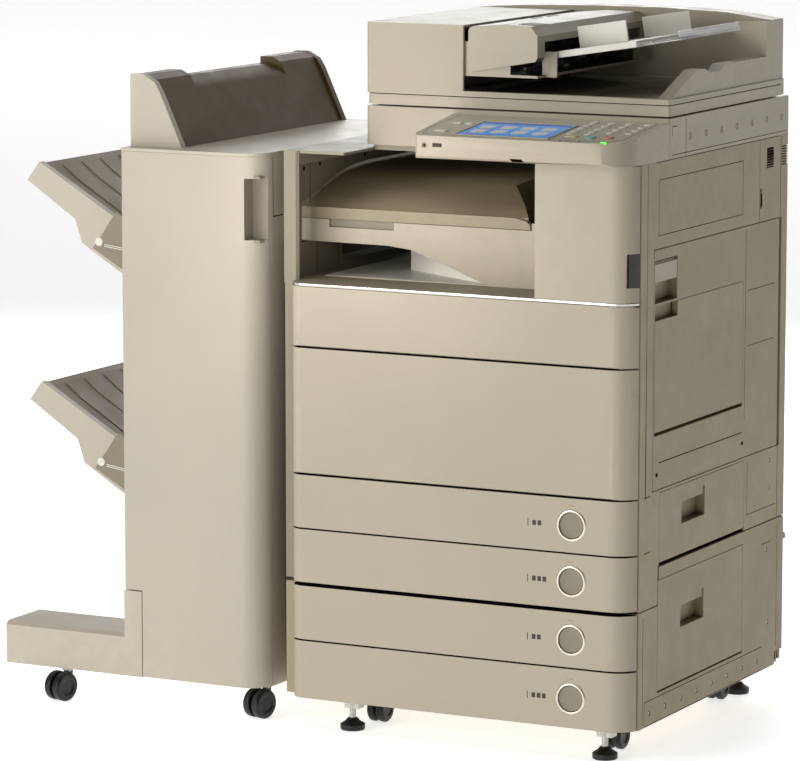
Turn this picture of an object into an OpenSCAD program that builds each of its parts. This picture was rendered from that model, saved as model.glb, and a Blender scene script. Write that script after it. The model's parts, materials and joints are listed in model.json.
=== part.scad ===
// Floor-standing office photocopier with a side finisher.
// Built in machine coordinates: X runs right along the front from the left front corner of the
// copier, Y runs to the rear from its front face, Z runs up from the floor.
// place() moves every piece so that the origin is the middle of the whole base.

/* [Main unit] */
// Width of the copier between its side faces
body_w = 620; // [600:1:640]
// Depth from the front face to the rear casing
body_d = 612; // [600:1:620]
// Height of the bottom edge of the casing above the floor
base_z = 50; // [49:1:51]
// Height where the pedestal ends and the main unit starts
unit_z = 236; // [236:1:236]
// Height of the front cover's bottom edge
front_z = 415; // [415:1:415]
// Height of the toner cover's bottom edge
toner_z = 618.8; // [618.8:0.1:618.8]
// Height of the floor of the output space
bay_z = 720; // [720:1:720]
// Height of the top of the main unit, under the reader
top_z = 931; // [931:1:931]
// Left edge of the front covers, set in from the frame's left side
front_x = 20; // [18:1:22]
// Radius of the left front corner
corner_l = 25; // [20:1:28]
// Radius of the right front corner
corner_r = 42; // [36:1:46]
// Thickness of the plastic casing
skin = 2.5; // [2.4:0.1:3]
// Depth of the front covers and drawer fronts
front_d = 28; // [28:1:28]

/* [Drawers] */
// Bottom edges of the four drawer fronts, from the lowest drawer up
drawer_z = [50, 146, 239, 327.2]; // [50:1:327.2]
// Top edges of the four drawer fronts
drawer_top = [143.6, 233, 324.8, 412.6]; // [143:0.1:413]
// Radius of the round release buttons
button_r = 21; // [18:0.5:22]
// Distance of the release buttons from the left side
button_x = 518; // [500:1:530]

/* [Reader and feeder] */
// Left side of the reader and the document feeder
reader_x = 92; // [88:1:96]
// Front face of the reader and the document feeder
reader_y = 130; // [126:1:134]
// Top of the reader
reader_top = 993; // [993:1:993]
// Underside of the document feeder
feeder_z = 996; // [996:1:996]
// Height of the feeder's top deck
feeder_top = 1126; // [1120:1:1128]

/* [Finisher] */
// Left side of the finisher
fin_x = -285; // [-286:1:-284]
// Right side of the finisher
fin_right = -30; // [-31:1:-29]
// Height of the finisher's deck
fin_top = 920; // [918:1:922]
// Radius of the finisher's right front corner
fin_corner = 38; // [34:1:40]
// Left end of the finisher's feet
fin_foot_x = -512; // [-512:1:-508]

/* [Hidden] */
origin_x = 54;
origin_y = 303;
eps = 0.01;
$fn = 48;

beige = [0.72, 0.69, 0.61];
side_beige = [0.66, 0.63, 0.54];
taupe = [0.38, 0.34, 0.27];
dark = [0.08, 0.08, 0.08];
off_white = [0.87, 0.86, 0.81];

// Shared helpers ---------------------------------------------------------------------------

module place() { translate([-origin_x, -origin_y, 0]) children(); }

// A box given by its low and high corners.
module span(lo, hi) { translate(lo) cube(hi - lo); }

// Cylinders along X and Y, starting at a point.
module rod_x(p, r, len) { translate(p) rotate([0, 90, 0]) cylinder(r = r, h = len); }
module rod_y(p, r, len) { translate(p) rotate([-90, 0, 0]) cylinder(r = r, h = len); }

// Plan of a casing with two rounded front corners, front edge on Y = 0.
module plan(w, d, rl, rr) {
  intersection() {
    square([w, d]);
    union() {
      translate([rl, 0]) square([w - rl - rr, d]);
      translate([0, rl]) square([w / 2, d]);
      translate([w / 2, rr]) square([w / 2, d]);
      translate([rl, rl]) circle(r = rl);
      translate([w - rr, rr]) circle(r = rr);
    }
  }
}

// Plan of the copier's front casing, shrunk by a wall's thickness.
module front_plan(t) {
  translate([front_x + t, t]) plan(body_w - front_x - 2 * t, front_d, corner_l - t, corner_r - t);
}

// Front casing of the copier between two heights, open at the back.
module front_shell(z0, z1) {
  difference() {
    translate([0, 0, z0]) linear_extrude(z1 - z0) front_plan(0);
    translate([0, 0, z0 + skin]) linear_extrude(z1 - z0 - 2 * skin) front_plan(skin);
  }
}

// Drop-down covers turn on pins 5 mm behind and above their lower front edge, and that edge is
// rounded about the pins, so that it keeps its gap while the cover opens.
pin_in = 5;
pin_r = 2;
swing_gap = 0.3;

// Trims a cover to what can swing open between its neighbours.
module swing_trim(w, h) {
  intersection() {
    children();
    union() {
      translate([-1, -2, pin_in]) cube([w + 2, 60, h]);
      translate([-1, pin_in, -2]) cube([w + 2, 60, h + 10]);
      rod_x([-1, pin_in, pin_in], pin_in, w + 2);
    }
    rod_x([-1, pin_in, pin_in], h - pin_in + swing_gap, w + 2);
  }
}

// Bosses inside a drop-down cover, in the cover's own frame: X along the hinge, Y inwards.
module hinge_bosses(xs) {
  for (x = xs, side = [-1, 1])
    difference() {
      translate([x + side * 5 - 1.5, skin - eps, skin - eps]) cube([3, 10, 10]);
      rod_x([x - 10, pin_in, pin_in], pin_r + 0.05, 20);
    }
}

// Slots in the cover's lower wall that let the hinge arms through.
module hinge_slots(xs, d) {
  for (x = xs) translate([x - 3.5, skin, -1]) cube([7, d, skin + 2]);
}

// Fixed hinge arm with its pin, reaching forward into the cover.
module hinge_arms(xs, reach) {
  for (x = xs) {
    translate([x - 2.5, pin_in - 2, pin_in - 1.5]) cube([5, reach - pin_in + 2, 5.5]);
    rod_x([x - 6.4, pin_in, pin_in], pin_r, 12.8);
  }
}

front_hinges = [48, 547];
side_hinges = [40, 300];

// Moves a cover's own frame to the right side, with its outer face on the casing.
module on_right(y0, z0) { translate([body_w, y0, z0]) rotate([0, 0, 90]) children(); }

// Frames ------------------------------------------------------------------------------------

ped_door_y = 100;
ped_door_w = 340;
ped_door_z = 96;
ped_door_h = 180;

module pedestal_frame() {
  color(side_beige) place() {
    difference() {
      union() {
        span([0, 30, base_z], [6, 604, 233]);
        span([6 - eps, 30, base_z], [28, 33, 233]);
        span([6 - eps, 30, base_z], [body_w - 5 + eps, 604, base_z + 5]);
        span([0, 600, base_z], [body_w - 5 + eps, 604, 233]);
        span([6 - eps, 34, 143.8], [566 + eps, 600 + eps, 145.8]);
        span([6 - eps, 34, 228], [body_w - 5 + eps, 600 + eps, 233]);
        span([566, 34, base_z], [570, 600 + eps, 233]);
        span([body_w - 5, 30, base_z], [body_w, 612, unit_z - 1]);
        span([body_w - 5, 104, unit_z - 1 - eps], [body_w, 612, 296]);
      }
      span([body_w - 6, ped_door_y, ped_door_z], [body_w + 1, ped_door_y + ped_door_w, ped_door_z + ped_door_h]);
      span([body_w - 6, 580, base_z - 1], [body_w + 1, 613, 72]);
      // Room for the door's depth
      span([body_w - 45, ped_door_y - 2, ped_door_z - 3], [body_w - 5, ped_door_y + ped_door_w + 2, unit_z + 1]);
    }
    on_right(ped_door_y + 1, ped_door_z + 1) hinge_arms(side_hinges, 50 + eps);
    for (x = [134, 552], y = [100, 500]) caster_cheek(x, y);
  }
}

// Bracket between the twin wheels of a fixed caster.
module caster_cheek(x, y) {
  difference() {
    union() {
      span([x - 2.5, y - 11, 14], [x + 2.5, y + 11, base_z + eps]);
      span([x - 17, y - 17, 46.5], [x + 17, y + 17, base_z + eps]);
    }
    rod_x([x - 4, y, 23], 3.05, 8);
  }
}

bay_right = 452;
bay_top = 926;

module main_frame() {
  color([0.6, 0.58, 0.52]) place() {
    difference() {
      union() {
        // Walls and shelves
        span([0, 30, unit_z + 3], [6, 604, bay_top]);
        span([6 - eps, 30, unit_z + 3], [28, 33, 700 + eps]);
        span([0, 600, unit_z + 3], [body_w - 6, 604, top_z]);
        span([6 - eps, 34, unit_z + 3], [body_w - 6, 600 + eps, unit_z + 7]);
        span([6 - eps, 34, 325], [566 + eps, 600 + eps, 327]);
        span([6 - eps, 32, 412.8], [566 + eps, 600 + eps, 416]);
        span([566, 34, unit_z + 3], [570, 600 + eps, 700 + eps]);
        span([6 - eps, 34, 596], [566 + eps, 600 + eps, 600]);
        span([6 - eps, 29.5, 700], [body_w - 6, 600 + eps, bay_z]);
        // Strip along the front of the output space
        translate([front_x, 0, 715]) linear_extrude(bay_z - 715) plan(body_w - front_x, 30, corner_l, corner_r);
        // Roof behind the panel, right wall of the output space and front bulkhead
        span([reader_x + 10, 140, 922], [body_w - 6, 600 + eps, top_z]);
        span([bay_right + 5, 34, 922], [body_w - 6, 140 + eps, top_z]);
        span([bay_right, 34, bay_z - eps], [bay_right + 5, 600 + eps, top_z]);
        span([bay_right, 34, 700], [body_w - 6, 38, top_z]);
        // Left post with its bevel, and the beam and roof over the left wall
        translate([0, 0, 715]) linear_extrude(bay_top - 715)
          polygon([[0, 34], [0, 27], [21, 27], [25, 31], [25, 34]]);
        translate([0, 604, 0]) rotate([90, 0, 0]) linear_extrude(604 - 33)
          polygon([[0, bay_top], [0, 903], [21, 903], [25, 907], [25, 922], [reader_x + 12, 922], [reader_x + 12, bay_top]]);
      }
      // Windows: to the finisher, shaped to the output tray, and behind the right door
      translate([-1, 0, 0]) rotate([90, 0, 90]) linear_extrude(8)
        polygon([[75, 773], [75, 840], [133, 853], [195, 873], [237, 882], [307, 887], [592, 887], [592, 730],
                 [215, 730], [215, 773]]);
      span([459, 60, 740], [body_w, 590, 915]);
      span([575, 60, 690], [body_w, 590, 741]);
      span([body_w - 45, ped_door_y - 2, unit_z], [body_w, ped_door_y + ped_door_w + 2, unit_z + 50]);
    }
    translate([0, 0, toner_z]) hinge_arms(front_hinges, 38);
    translate([0, 0, front_z]) hinge_arms(front_hinges, 38);
    for (x = front_hinges, z = [[600 - eps, toner_z + 9], [416 - eps, front_z + 9]])
      span([x - 2.5, 34, z[0]], [x + 2.5, 38, z[1]]);
    on_right(low_y0 + 1, low_z0 + 1) hinge_arms(side_hinges, 50 + eps);
    // Bearers of the fixing roller
    for (y = [58, 518])
      difference() {
        span([523, y, 626], [566 + eps, y + 4, 654]);
        rod_y([540, y - 1, 640], 6.05, 6);
      }
  }
}

// Side cover: one plate with windows for the mid door and the lower door.
mid_y0 = 76;
mid_y1 = 588;
mid_z0 = 418;
mid_z1 = 796;
low_y0 = 103;
low_w = 340;
low_z0 = 300;
low_h = 114;
mid_axis = [608, 576];

module right_side_cover() {
  color(side_beige) place() {
    difference() {
      union() {
        translate([body_w - 4, 0, 0]) rotate([90, 0, 90]) linear_extrude(4)
          polygon([[30, unit_z + 1], [99, unit_z + 1], [99, 298], [612, 298], [612, top_z], [30, top_z]]);
        span([body_w - 16, 30, 300], [body_w, 34, 700]);
      }
      span([body_w - 5, mid_y0, mid_z0], [body_w + 1, mid_y1 + 1, mid_z1]);
      span([body_w - 5, low_y0, low_z0 - 3], [body_w + 1, low_y0 + low_w, low_z0 + low_h]);
      // Hand slot and cooling louvres
      span([body_w - 3, 496, 818], [body_w + 1, 504, 850]);
      for (i = [0 : 7]) span([body_w - 5, 524, 884 + i * 4], [body_w + 1, 552, 886 + i * 4]);
    }
    for (z = [mid_z1 + 2, mid_z0 - 10])
      difference() {
        span([mid_axis[0] - 10, mid_axis[1] - 10, z], [body_w - 4 + eps, mid_axis[1] + 10, z + 8]);
        translate([mid_axis[0], mid_axis[1], z - 1]) cylinder(r = 4.05, h = 10);
      }
  }
}

module rear_cover() {
  color(side_beige) place() {
    difference() {
      span([2, 608, base_z + 4], [body_w - 5, 616, top_z - 2]);
      span([4, 607, base_z + 6], [body_w - 7, 613.5, top_z - 4]);
      for (bank = [0 : 2], i = [0 : 9])
        span([70 + bank * 170, 612, 760 + i * 12], [190 + bank * 170, 617, 764 + i * 12]);
      span([60, 612, 110], [110, 617, 145]);
    }
    // Carry handle at the lower corner
    hull() {
      span([598, 616, 262], [608, 618, 276]);
      span([598, 646, 250], [608, 652, 258]);
    }
  }
}

// Upright cover beside the output space, with the switch niche at its right end.
niche_z0 = 743;
niche_z1 = 795;
flap_axis = [606.8, 13.6];

module front_right_cover() {
  color(beige) place() {
    difference() {
      translate([0, 0, bay_z]) linear_extrude(top_z - bay_z - 2.5)
        intersection() {
          difference() {
            front_plan(0);
            front_plan(skin);
          }
          translate([bay_right + 1, 0]) square([200, front_d]);
        }
      span([603.8, -1, niche_z0], [body_w + 1, front_d + 1, niche_z1]);
      for (z = [niche_z0 - 2.4, niche_z1 - 0.1])
        translate([flap_axis[0], flap_axis[1], z]) cylinder(r = 1.25, h = 2.5);
    }
    span([bay_right + 1, 1, bay_z], [bay_right + 3.5, front_d, top_z - 2.5]);
    // Niche floor, ceiling and the switch bezel
    for (z = [niche_z0 - 2.5, niche_z1])
      difference() {
        translate([0, 0, z]) linear_extrude(2.5)
          intersection() {
            translate([1, 1]) plan(body_w - 2, front_d - 1, corner_l - 1, corner_r - 1);
            translate([585, 0]) square([40, front_d]);
          }
        translate([flap_axis[0], flap_axis[1], z - 1]) cylinder(r = 1.25, h = 5);
      }
    difference() {
      span([585, 22, niche_z0 - eps], [body_w - 8.6, front_d, niche_z1 + eps]);
      span([593, 20, 755], [607, front_d + 1, 783]);
      rod_x([590, 27.5, 769], 1.55, 20);
    }
  }
}

module power_switch_cover() {
  color([0.2, 0.2, 0.2, 0.8]) place() {
    translate([0, 0, niche_z0 + 0.5]) linear_extrude(niche_z1 - niche_z0 - 1)
      intersection() {
        difference() {
          front_plan(0);
          front_plan(skin);
        }
        translate([flap_axis[0], 0]) square([30, front_d - 0.5]);
      }
    translate([flap_axis[0], flap_axis[1], niche_z0 + 0.5]) cylinder(r = 1.8, h = niche_z1 - niche_z0 - 1);
    translate([flap_axis[0], flap_axis[1], niche_z0 - 1.5]) cylinder(r = 1.2, h = niche_z1 - niche_z0 + 3);
  }
}

module power_switch() {
  color(dark) place() {
    translate([594, 27.5, 769]) rotate([90, 0, 90]) linear_extrude(12)
      polygon([[-1.5, -12.6], [-8, -12], [-6, 0], [-10, 12], [-1.5, 12.6], [0.4, 0]]);
    rod_x([590.5, 27.5, 769], 1.5, 19);
  }
}

// Feet, with their white brackets and steel stems.
module levelling_feet() {
  color(dark) place()
    for (x = [118, 562], y = [34, 562]) translate([x, y, 0]) {
      rotate_extrude() polygon([[0, 0], [19, 0], [20, 2], [20, 9], [12, 14], [8, 19], [0, 19]]);
      cylinder(r = 5, h = 40);
      translate([-13, -4, 34]) cube([26, 20, base_z - 34]);
    }
}

// Paper output -----------------------------------------------------------------------------

// Front plane of the output tray, and the tray's profile from front to rear.
tray_y = 97;
tray_rise = [[tray_y + 8, 830.5], [133, 847], [195, 867], [237, 876], [307, 881], [590, 881]];

// Section of the output tray along its depth, lowered by a wall's thickness.
module tray_section(x0, x1, y0, drop) {
  translate([x0, 0, 0]) rotate([90, 0, 90]) linear_extrude(x1 - x0)
    polygon(concat([[y0, 811.5]], [for (p = tray_rise) [max(p[0], y0), p[1] - drop]], [[590 - drop, 811.5]]));
}

module output_tray() {
  color([0.56, 0.53, 0.46]) place() {
    difference() {
      union() {
        translate([0, tray_y + 12, 0]) rotate([90, 0, 0]) linear_extrude(12)
          polygon([[-20, 812.3], [399, 812.3], [399, 820], [392, 826], [372, 830.5], [-20, 830.5]]);
        intersection() {
          tray_section(-20, 399, tray_y + 8, 0);
          linear_extrude(900)
            polygon([[-20, 90], [396, 100], [322, 206], [334, 236], [334, 590], [-20, 590]]);
        }
      }
      // Hollow underside
      intersection() {
        translate([0, 0, -1]) tray_section(-16, 396, tray_y + 14, 4);
        linear_extrude(900)
          polygon([[-16, 112], [380, 112], [317, 206], [330, 238], [330, 586], [-16, 586]]);
      }
    }
  }
}

module output_fascia() {
  color([0.6, 0.57, 0.5]) place() {
    difference() {
      translate([0, tray_y + 12, 0]) rotate([90, 0, 0]) linear_extrude(12)
        polygon([[-20, 811.5], [402, 811.5], [402, 823], [448, 823], [448, bay_z], [327, bay_z], [302, 729.4],
                 [265, 744], [228, 756.6], [190, 770], [148, 774.6], [-20, 775.5]]);
      span([44, tray_y - 2, 799], [160, tray_y + 6, 812]);
    }
    // Side plates carrying the tray
    span([-20, tray_y + 12 - eps, 775.5], [-17, 590, 811.5]);
    span([445, tray_y + 12 - eps, bay_z], [448, 590, 811.5]);
    span([399.5, tray_y + 12 - eps, 808], [445 + eps, 590, 811.5]);
    // Receiving plate on the floor of the lower space, with its raised block
    span([36, tray_y, bay_z], [326, 560, bay_z + 1.5]);
    difference() {
      translate([0, 0, bay_z]) linear_extrude(36)
        polygon([[130, 216], [334, tray_y + 4], [445 + eps, tray_y + 4], [445 + eps, 560], [130, 560]]);
      translate([0, 0, bay_z - 1]) linear_extrude(34)
        polygon([[133, 218], [336, tray_y + 7], [445 - eps, tray_y + 7], [445 - eps, 557], [133, 557]]);
    }
  }
}

// Reader ------------------------------------------------------------------------------------

rd_w = body_w - reader_x;

module reader_housing() {
  color(beige) place() {
    difference() {
      translate([reader_x, reader_y, top_z]) linear_extrude(reader_top - top_z) plan(rd_w, body_d - reader_y, 10, 3);
      translate([reader_x + 4, reader_y + 4, top_z + 4])
        cube([rd_w - 8, body_d - reader_y - 8, reader_top - top_z - 7]);
      span([reader_x + 26, reader_y + 26, reader_top - 4], [body_w - 22, 575, reader_top + 1]);
    }
    // Rim step that seats the glass
    difference() {
      span([reader_x + 4 - eps, reader_y + 4 - eps, reader_top - 7], [body_w - 4 + eps, body_d - 4 + eps, reader_top - 3 + eps]);
      span([reader_x + 34, reader_y + 34, reader_top - 8], [body_w - 30, 567, reader_top]);
      span([reader_x + 26, reader_y + 26, reader_top - 4], [body_w - 22, 575, reader_top + 1]);
    }
    // Carriage rails and the feeder's hinge lugs
    for (y = [200, 520]) rod_x([reader_x + 4 - eps, y, 950], 4, rd_w - 8 + 2 * eps);
    for (x = [160, 540], dx = [-15, 9])
      difference() {
        union() {
          span([x + dx, 593, reader_top - eps], [x + dx + 6, 611, 1003]);
          rod_x([x + dx, 602, 1003], 8, 6);
        }
        rod_x([x + dx - 1, 602, 1003], 4.05, 8);
      }
  }
}

module platen_glass() {
  color([0.6, 0.75, 0.75, 0.5]) place()
    span([reader_x + 26.3, reader_y + 26.3, reader_top - 4 + eps], [body_w - 22.3, 574.7, reader_top - 0.3]);
}

module scan_carriage() {
  color(dark) place() translate([reader_x + 12, 0, 0])
    difference() {
      span([0, 180, 940], [60, 540, 978]);
      span([3, 184, 960], [57, 536, 979]);
      for (y = [200, 520]) rod_x([-1, y, 950], 4.06, 62);
      span([22, 184, 944], [38, 536, 962]);
    }
}

// Control panel -----------------------------------------------------------------------------

panel_x = 262;
panel_front = -46;
panel_front_z = 968;
panel_rear_z = 986;
panel_back = reader_y;
panel_tilt = atan((panel_rear_z - panel_front_z) / (panel_back - panel_front));

// Frame on the panel's top face: X along the panel, Y up the slope, Z out of the face.
module on_panel() {
  translate([0, panel_front, panel_front_z]) rotate([panel_tilt, 0, 0]) children();
}

// Keys as [x, distance up the slope].
start_at = [548, 42];
stop_at = [576, 46];
number_pad = [for (row = [0 : 3], col = [0 : 2]) [503 + col * 30, 154 - row * 24]];
key_r = 7;
key_hole = key_r + 0.4;

// Outlines of the panel, shrunk by a wall's thickness for its hollow.
module panel_side(t) {
  polygon([[panel_front + t, 950], [panel_front + t, panel_front_z - t], [panel_back - t, panel_rear_z - t],
           [panel_back - t, top_z - (t > 0 ? 1 : 0)], [panel_front + 18 + t, top_z - (t > 0 ? 1 : 0)],
           [panel_front + 6 + t, 936]]);
}

module panel_plan(t) {
  r = 60 - t;
  polygon([[panel_x + t, -28], [panel_x + 12 + t, panel_front + t], [400, panel_front + t],
           [body_w - 60, panel_front + t], [body_w - 60, panel_back - t], [panel_x - 14 + t, panel_back - t]]);
  translate([body_w - 60, panel_front + 60]) circle(r = r);
  translate([body_w - 61, panel_front + 60]) square([61 - t, panel_back - panel_front - 60 - t]);
}

module panel_solid(t) {
  intersection() {
    translate([0, 0, 930]) linear_extrude(70) panel_plan(t);
    translate([200, 0, 0]) rotate([90, 0, 90]) linear_extrude(450) panel_side(t);
  }
}

module panel_housing() {
  color(beige) place() {
    difference() {
      panel_solid(0);
      panel_solid(skin);
      on_panel() {
        translate([start_at[0], start_at[1], -14]) cylinder(r = 9.4, h = 20);
        translate([stop_at[0], stop_at[1], -14]) cylinder(r = 9.4, h = 20);
        for (k = number_pad) translate([k[0], k[1], -14]) cylinder(r = key_hole, h = 20);
      }
      // Data socket
      span([300, panel_front - 1, 951], [316, panel_front + 8, 957]);
    }
  }
}

module panel_screen() {
  color([0.1, 0.35, 0.8]) place() on_panel() translate([332, 18, 0]) cube([152, 106, 0.6]);
}

module panel_key(at, r) { translate([at[0], at[1], -8]) cylinder(r = r, h = 9.2); }

module start_key() { color([0.2, 0.6, 0.5]) place() on_panel() panel_key(start_at, 9); }
module stop_key() { color([0.8, 0.3, 0.2]) place() on_panel() panel_key(stop_at, 9); }
module number_keys() { color(off_white) place() on_panel() for (k = number_pad) panel_key(k, key_r); }

// Print engine ------------------------------------------------------------------------------

module transfer_unit() {
  color([0.12, 0.12, 0.14]) place() translate([0, 60, 560]) rotate([-90, 0, 0]) {
    // Endless belt round two rollers
    difference() {
      linear_extrude(460) belt_outline(18);
      translate([0, 0, -1]) linear_extrude(462) belt_outline(17);
    }
    for (x = [110, 490]) translate([x, 0, -4]) cylinder(r = 16.9, h = 468);
    translate([140, -8, 4]) cube([320, 16, 452]);
  }
}

module belt_outline(r) {
  translate([110, -r]) square([380, 2 * r]);
  translate([110, 0]) circle(r = r);
  translate([490, 0]) circle(r = r);
}

module drum_units() {
  color([0.1, 0.35, 0.3]) place()
    for (i = [0 : 3]) {
      rod_y([150 + i * 95, 62, 519], 15, 450);
      span([124 + i * 95, 70, 440], [176 + i * 95, 500, 500]);
    }
}

module toner_bottles() {
  place()
    for (i = [0 : 3]) {
      color([[0.85, 0.75, 0.1], [0.7, 0.15, 0.4], [0.1, 0.45, 0.7], [0.1, 0.1, 0.1]][i])
        union() {
          rod_y([100 + i * 125, 84, 645], 40, 400);
          rod_y([100 + i * 125, 484 - eps, 645], 26, 30);
        }
    }
}

module fuser_roller() {
  color([0.5, 0.25, 0.12]) place() {
    rod_y([540, 70, 640], 17, 440);
    rod_y([540, 56, 640], 6, 468);
  }
}

// Front covers ------------------------------------------------------------------------------

module drop_front(z0, z1) {
  difference() {
    translate([0, 0, z0]) swing_trim(body_w, z1 - z0) translate([0, 0, -z0]) front_shell(z0, z1);
    translate([0, 0, z0]) hinge_slots(front_hinges, front_d);
  }
  translate([0, 0, z0]) hinge_bosses(front_hinges);
}

module toner_cover() { color(beige) place() drop_front(toner_z, 714.4); }
module front_cover() { color(beige) place() drop_front(front_z, 616.4); }

// Drawers -----------------------------------------------------------------------------------

function button_z(i) = drawer_z[i] + (drawer_top[i] - drawer_z[i]) / 2;

module drawer_front(i) {
  color(beige) place() {
    difference() {
      union() {
        front_shell(drawer_z[i], drawer_top[i]);
        rod_y([button_x, 1, button_z(i)], 26, 16);
        rod_y([button_x, -1, button_z(i)], 24.5, 3);
      }
      rod_y([button_x, -2, button_z(i)], button_r + 0.4, 30);
    }
    // Back plate, which the cassette is screwed to
    span([front_x + 2, front_d - 3, drawer_z[i] + 2], [600, front_d, drawer_top[i] - 2]);
  }
}

module release_button(i) {
  color(side_beige) place() {
    rod_y([button_x, -0.6, button_z(i)], button_r, 8);
    rod_y([button_x, 7.3, button_z(i)], 6, 8);
  }
}

module cassette(i) {
  color([0.25, 0.25, 0.26]) place() {
    lo = [34, front_d, drawer_z[i] + 6.5];
    hi = [558, 560, drawer_top[i] - 10];
    difference() {
      span(lo, hi);
      span(lo + [3, 4, 3], [hi[0] - 3, hi[1] - 3, hi[2] + 1]);
    }
    // Side and rear paper fences
    span([lo[0] + 60, 120, lo[2] + 2.9], [lo[0] + 63, 220, hi[2] - 4]);
    span([hi[0] - 110, 120, lo[2] + 2.9], [hi[0] - 107, 220, hi[2] - 4]);
    span([250, 380, lo[2] + 2.9], [310, 384, hi[2] - 4]);
  }
}

// Right side doors --------------------------------------------------------------------------

bypass_y0 = 82;
bypass_y1 = 430;
bypass_z0 = 509;
bypass_z1 = 707;
bypass_axis = [614, 511];

module right_door() {
  color(side_beige) place() {
    difference() {
      union() {
        span([582, mid_y0 + 1.5, mid_z0 + 1.5], [body_w, 560, mid_z1 - 1.5]);
        span([596, 560 - eps, mid_z0 + 1.5], [body_w, mid_axis[1], mid_z1 - 1.5]);
        translate([mid_axis[0], mid_axis[1], mid_z0 + 1.5]) cylinder(r = 12, h = mid_z1 - mid_z0 - 3);
        translate([mid_axis[0], mid_axis[1], mid_z0 - 6]) cylinder(r = 4, h = mid_z1 - mid_z0 + 12);
      }
      // Inner hollow, bypass recess, latch recess
      span([581, mid_y0 + 5, mid_z0 + 5], [600, 556, mid_z1 - 5]);
      span([608, bypass_y0 - 1, bypass_z0 - 4.6], [body_w + 1, bypass_y1 + 1, bypass_z1 + 1]);
      span([604, 80, 711], [body_w + 1, 166, 778]);
      rod_y([bypass_axis[0], bypass_y0 - 3, bypass_axis[1]], 3.05, bypass_y1 - bypass_y0 + 6);
      rod_y([613, 78, 772], 2.05, 90);
      // Seams of the lower frame
      span([body_w - 0.8, 100, 461], [body_w + 1, 430, 462]);
    }
  }
}

module door_latch() {
  color(beige) place() {
    difference() {
      union() {
        span([609, 81, 744], [body_w - 0.5, 165, 772]);
        rod_y([613, 81, 772], 4, 84);
        rod_y([613, 78.5, 772], 2, 89);
      }
      span([608, 84, 743], [616, 162, 766]);
    }
  }
}

module bypass_tray() {
  color(side_beige) place() {
    difference() {
      union() {
        translate([0, bypass_y1, 0]) rotate([90, 0, 0]) linear_extrude(bypass_y1 - bypass_y0)
          polygon([[610, bypass_z0], [618, bypass_z0], [body_w, bypass_z0 + 2], [body_w, bypass_z1], [610, bypass_z1]]);
        rod_y([bypass_axis[0], bypass_y0 - 2.5, bypass_axis[1]], 3, bypass_y1 - bypass_y0 + 5);
      }
      // Grip cut at the upper front corner and the hollow inner face
      span([609, bypass_y0 - 1, 684], [body_w + 1, 168, bypass_z1 + 1]);
      span([609, bypass_y0 + 6, bypass_z0 + 16], [614, bypass_y1 - 6, 678]);
    }
  }
}

// Drop-down side door with a grip recess, in the cover's own frame.
module side_door(w, h, grip, d) {
  difference() {
    swing_trim(w, h) cube([w, d, h]);
    translate([skin, skin, skin]) cube([w - 2 * skin, d, h - 2 * skin]);
    translate(grip) cube([92, 40, 48]);
    hinge_slots(side_hinges, d);
  }
  hinge_bosses(side_hinges);
  // Grip cup
  difference() {
    translate(grip - [2, 0, 2]) cube([96, d - 1, 52]);
    translate(grip) translate([0, -1, 0]) cube([92, d - 2, 48]);
  }
  // Pull lip
  translate([grip[0] - eps, 2, grip[2] + 34]) cube([92 + 2 * eps, 3, 14 + eps]);
}

door_d = 20;

module lower_right_door() {
  color(side_beige) place()
    on_right(low_y0 + 1, low_z0 + 1) side_door(low_w - 2, low_h - 2, [86, 0, 50], door_d);
}

module pedestal_door() {
  color(side_beige) place()
    on_right(ped_door_y + 1, ped_door_z + 1) side_door(ped_door_w - 2, ped_door_h - 2, [88, 0, 88], door_d);
}

// Document feeder ---------------------------------------------------------------------------

// Right edge of the feeder's left casing, and the axis of its hinged cover.
case_right = 266;
cover_axis = [278, 1116];

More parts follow.
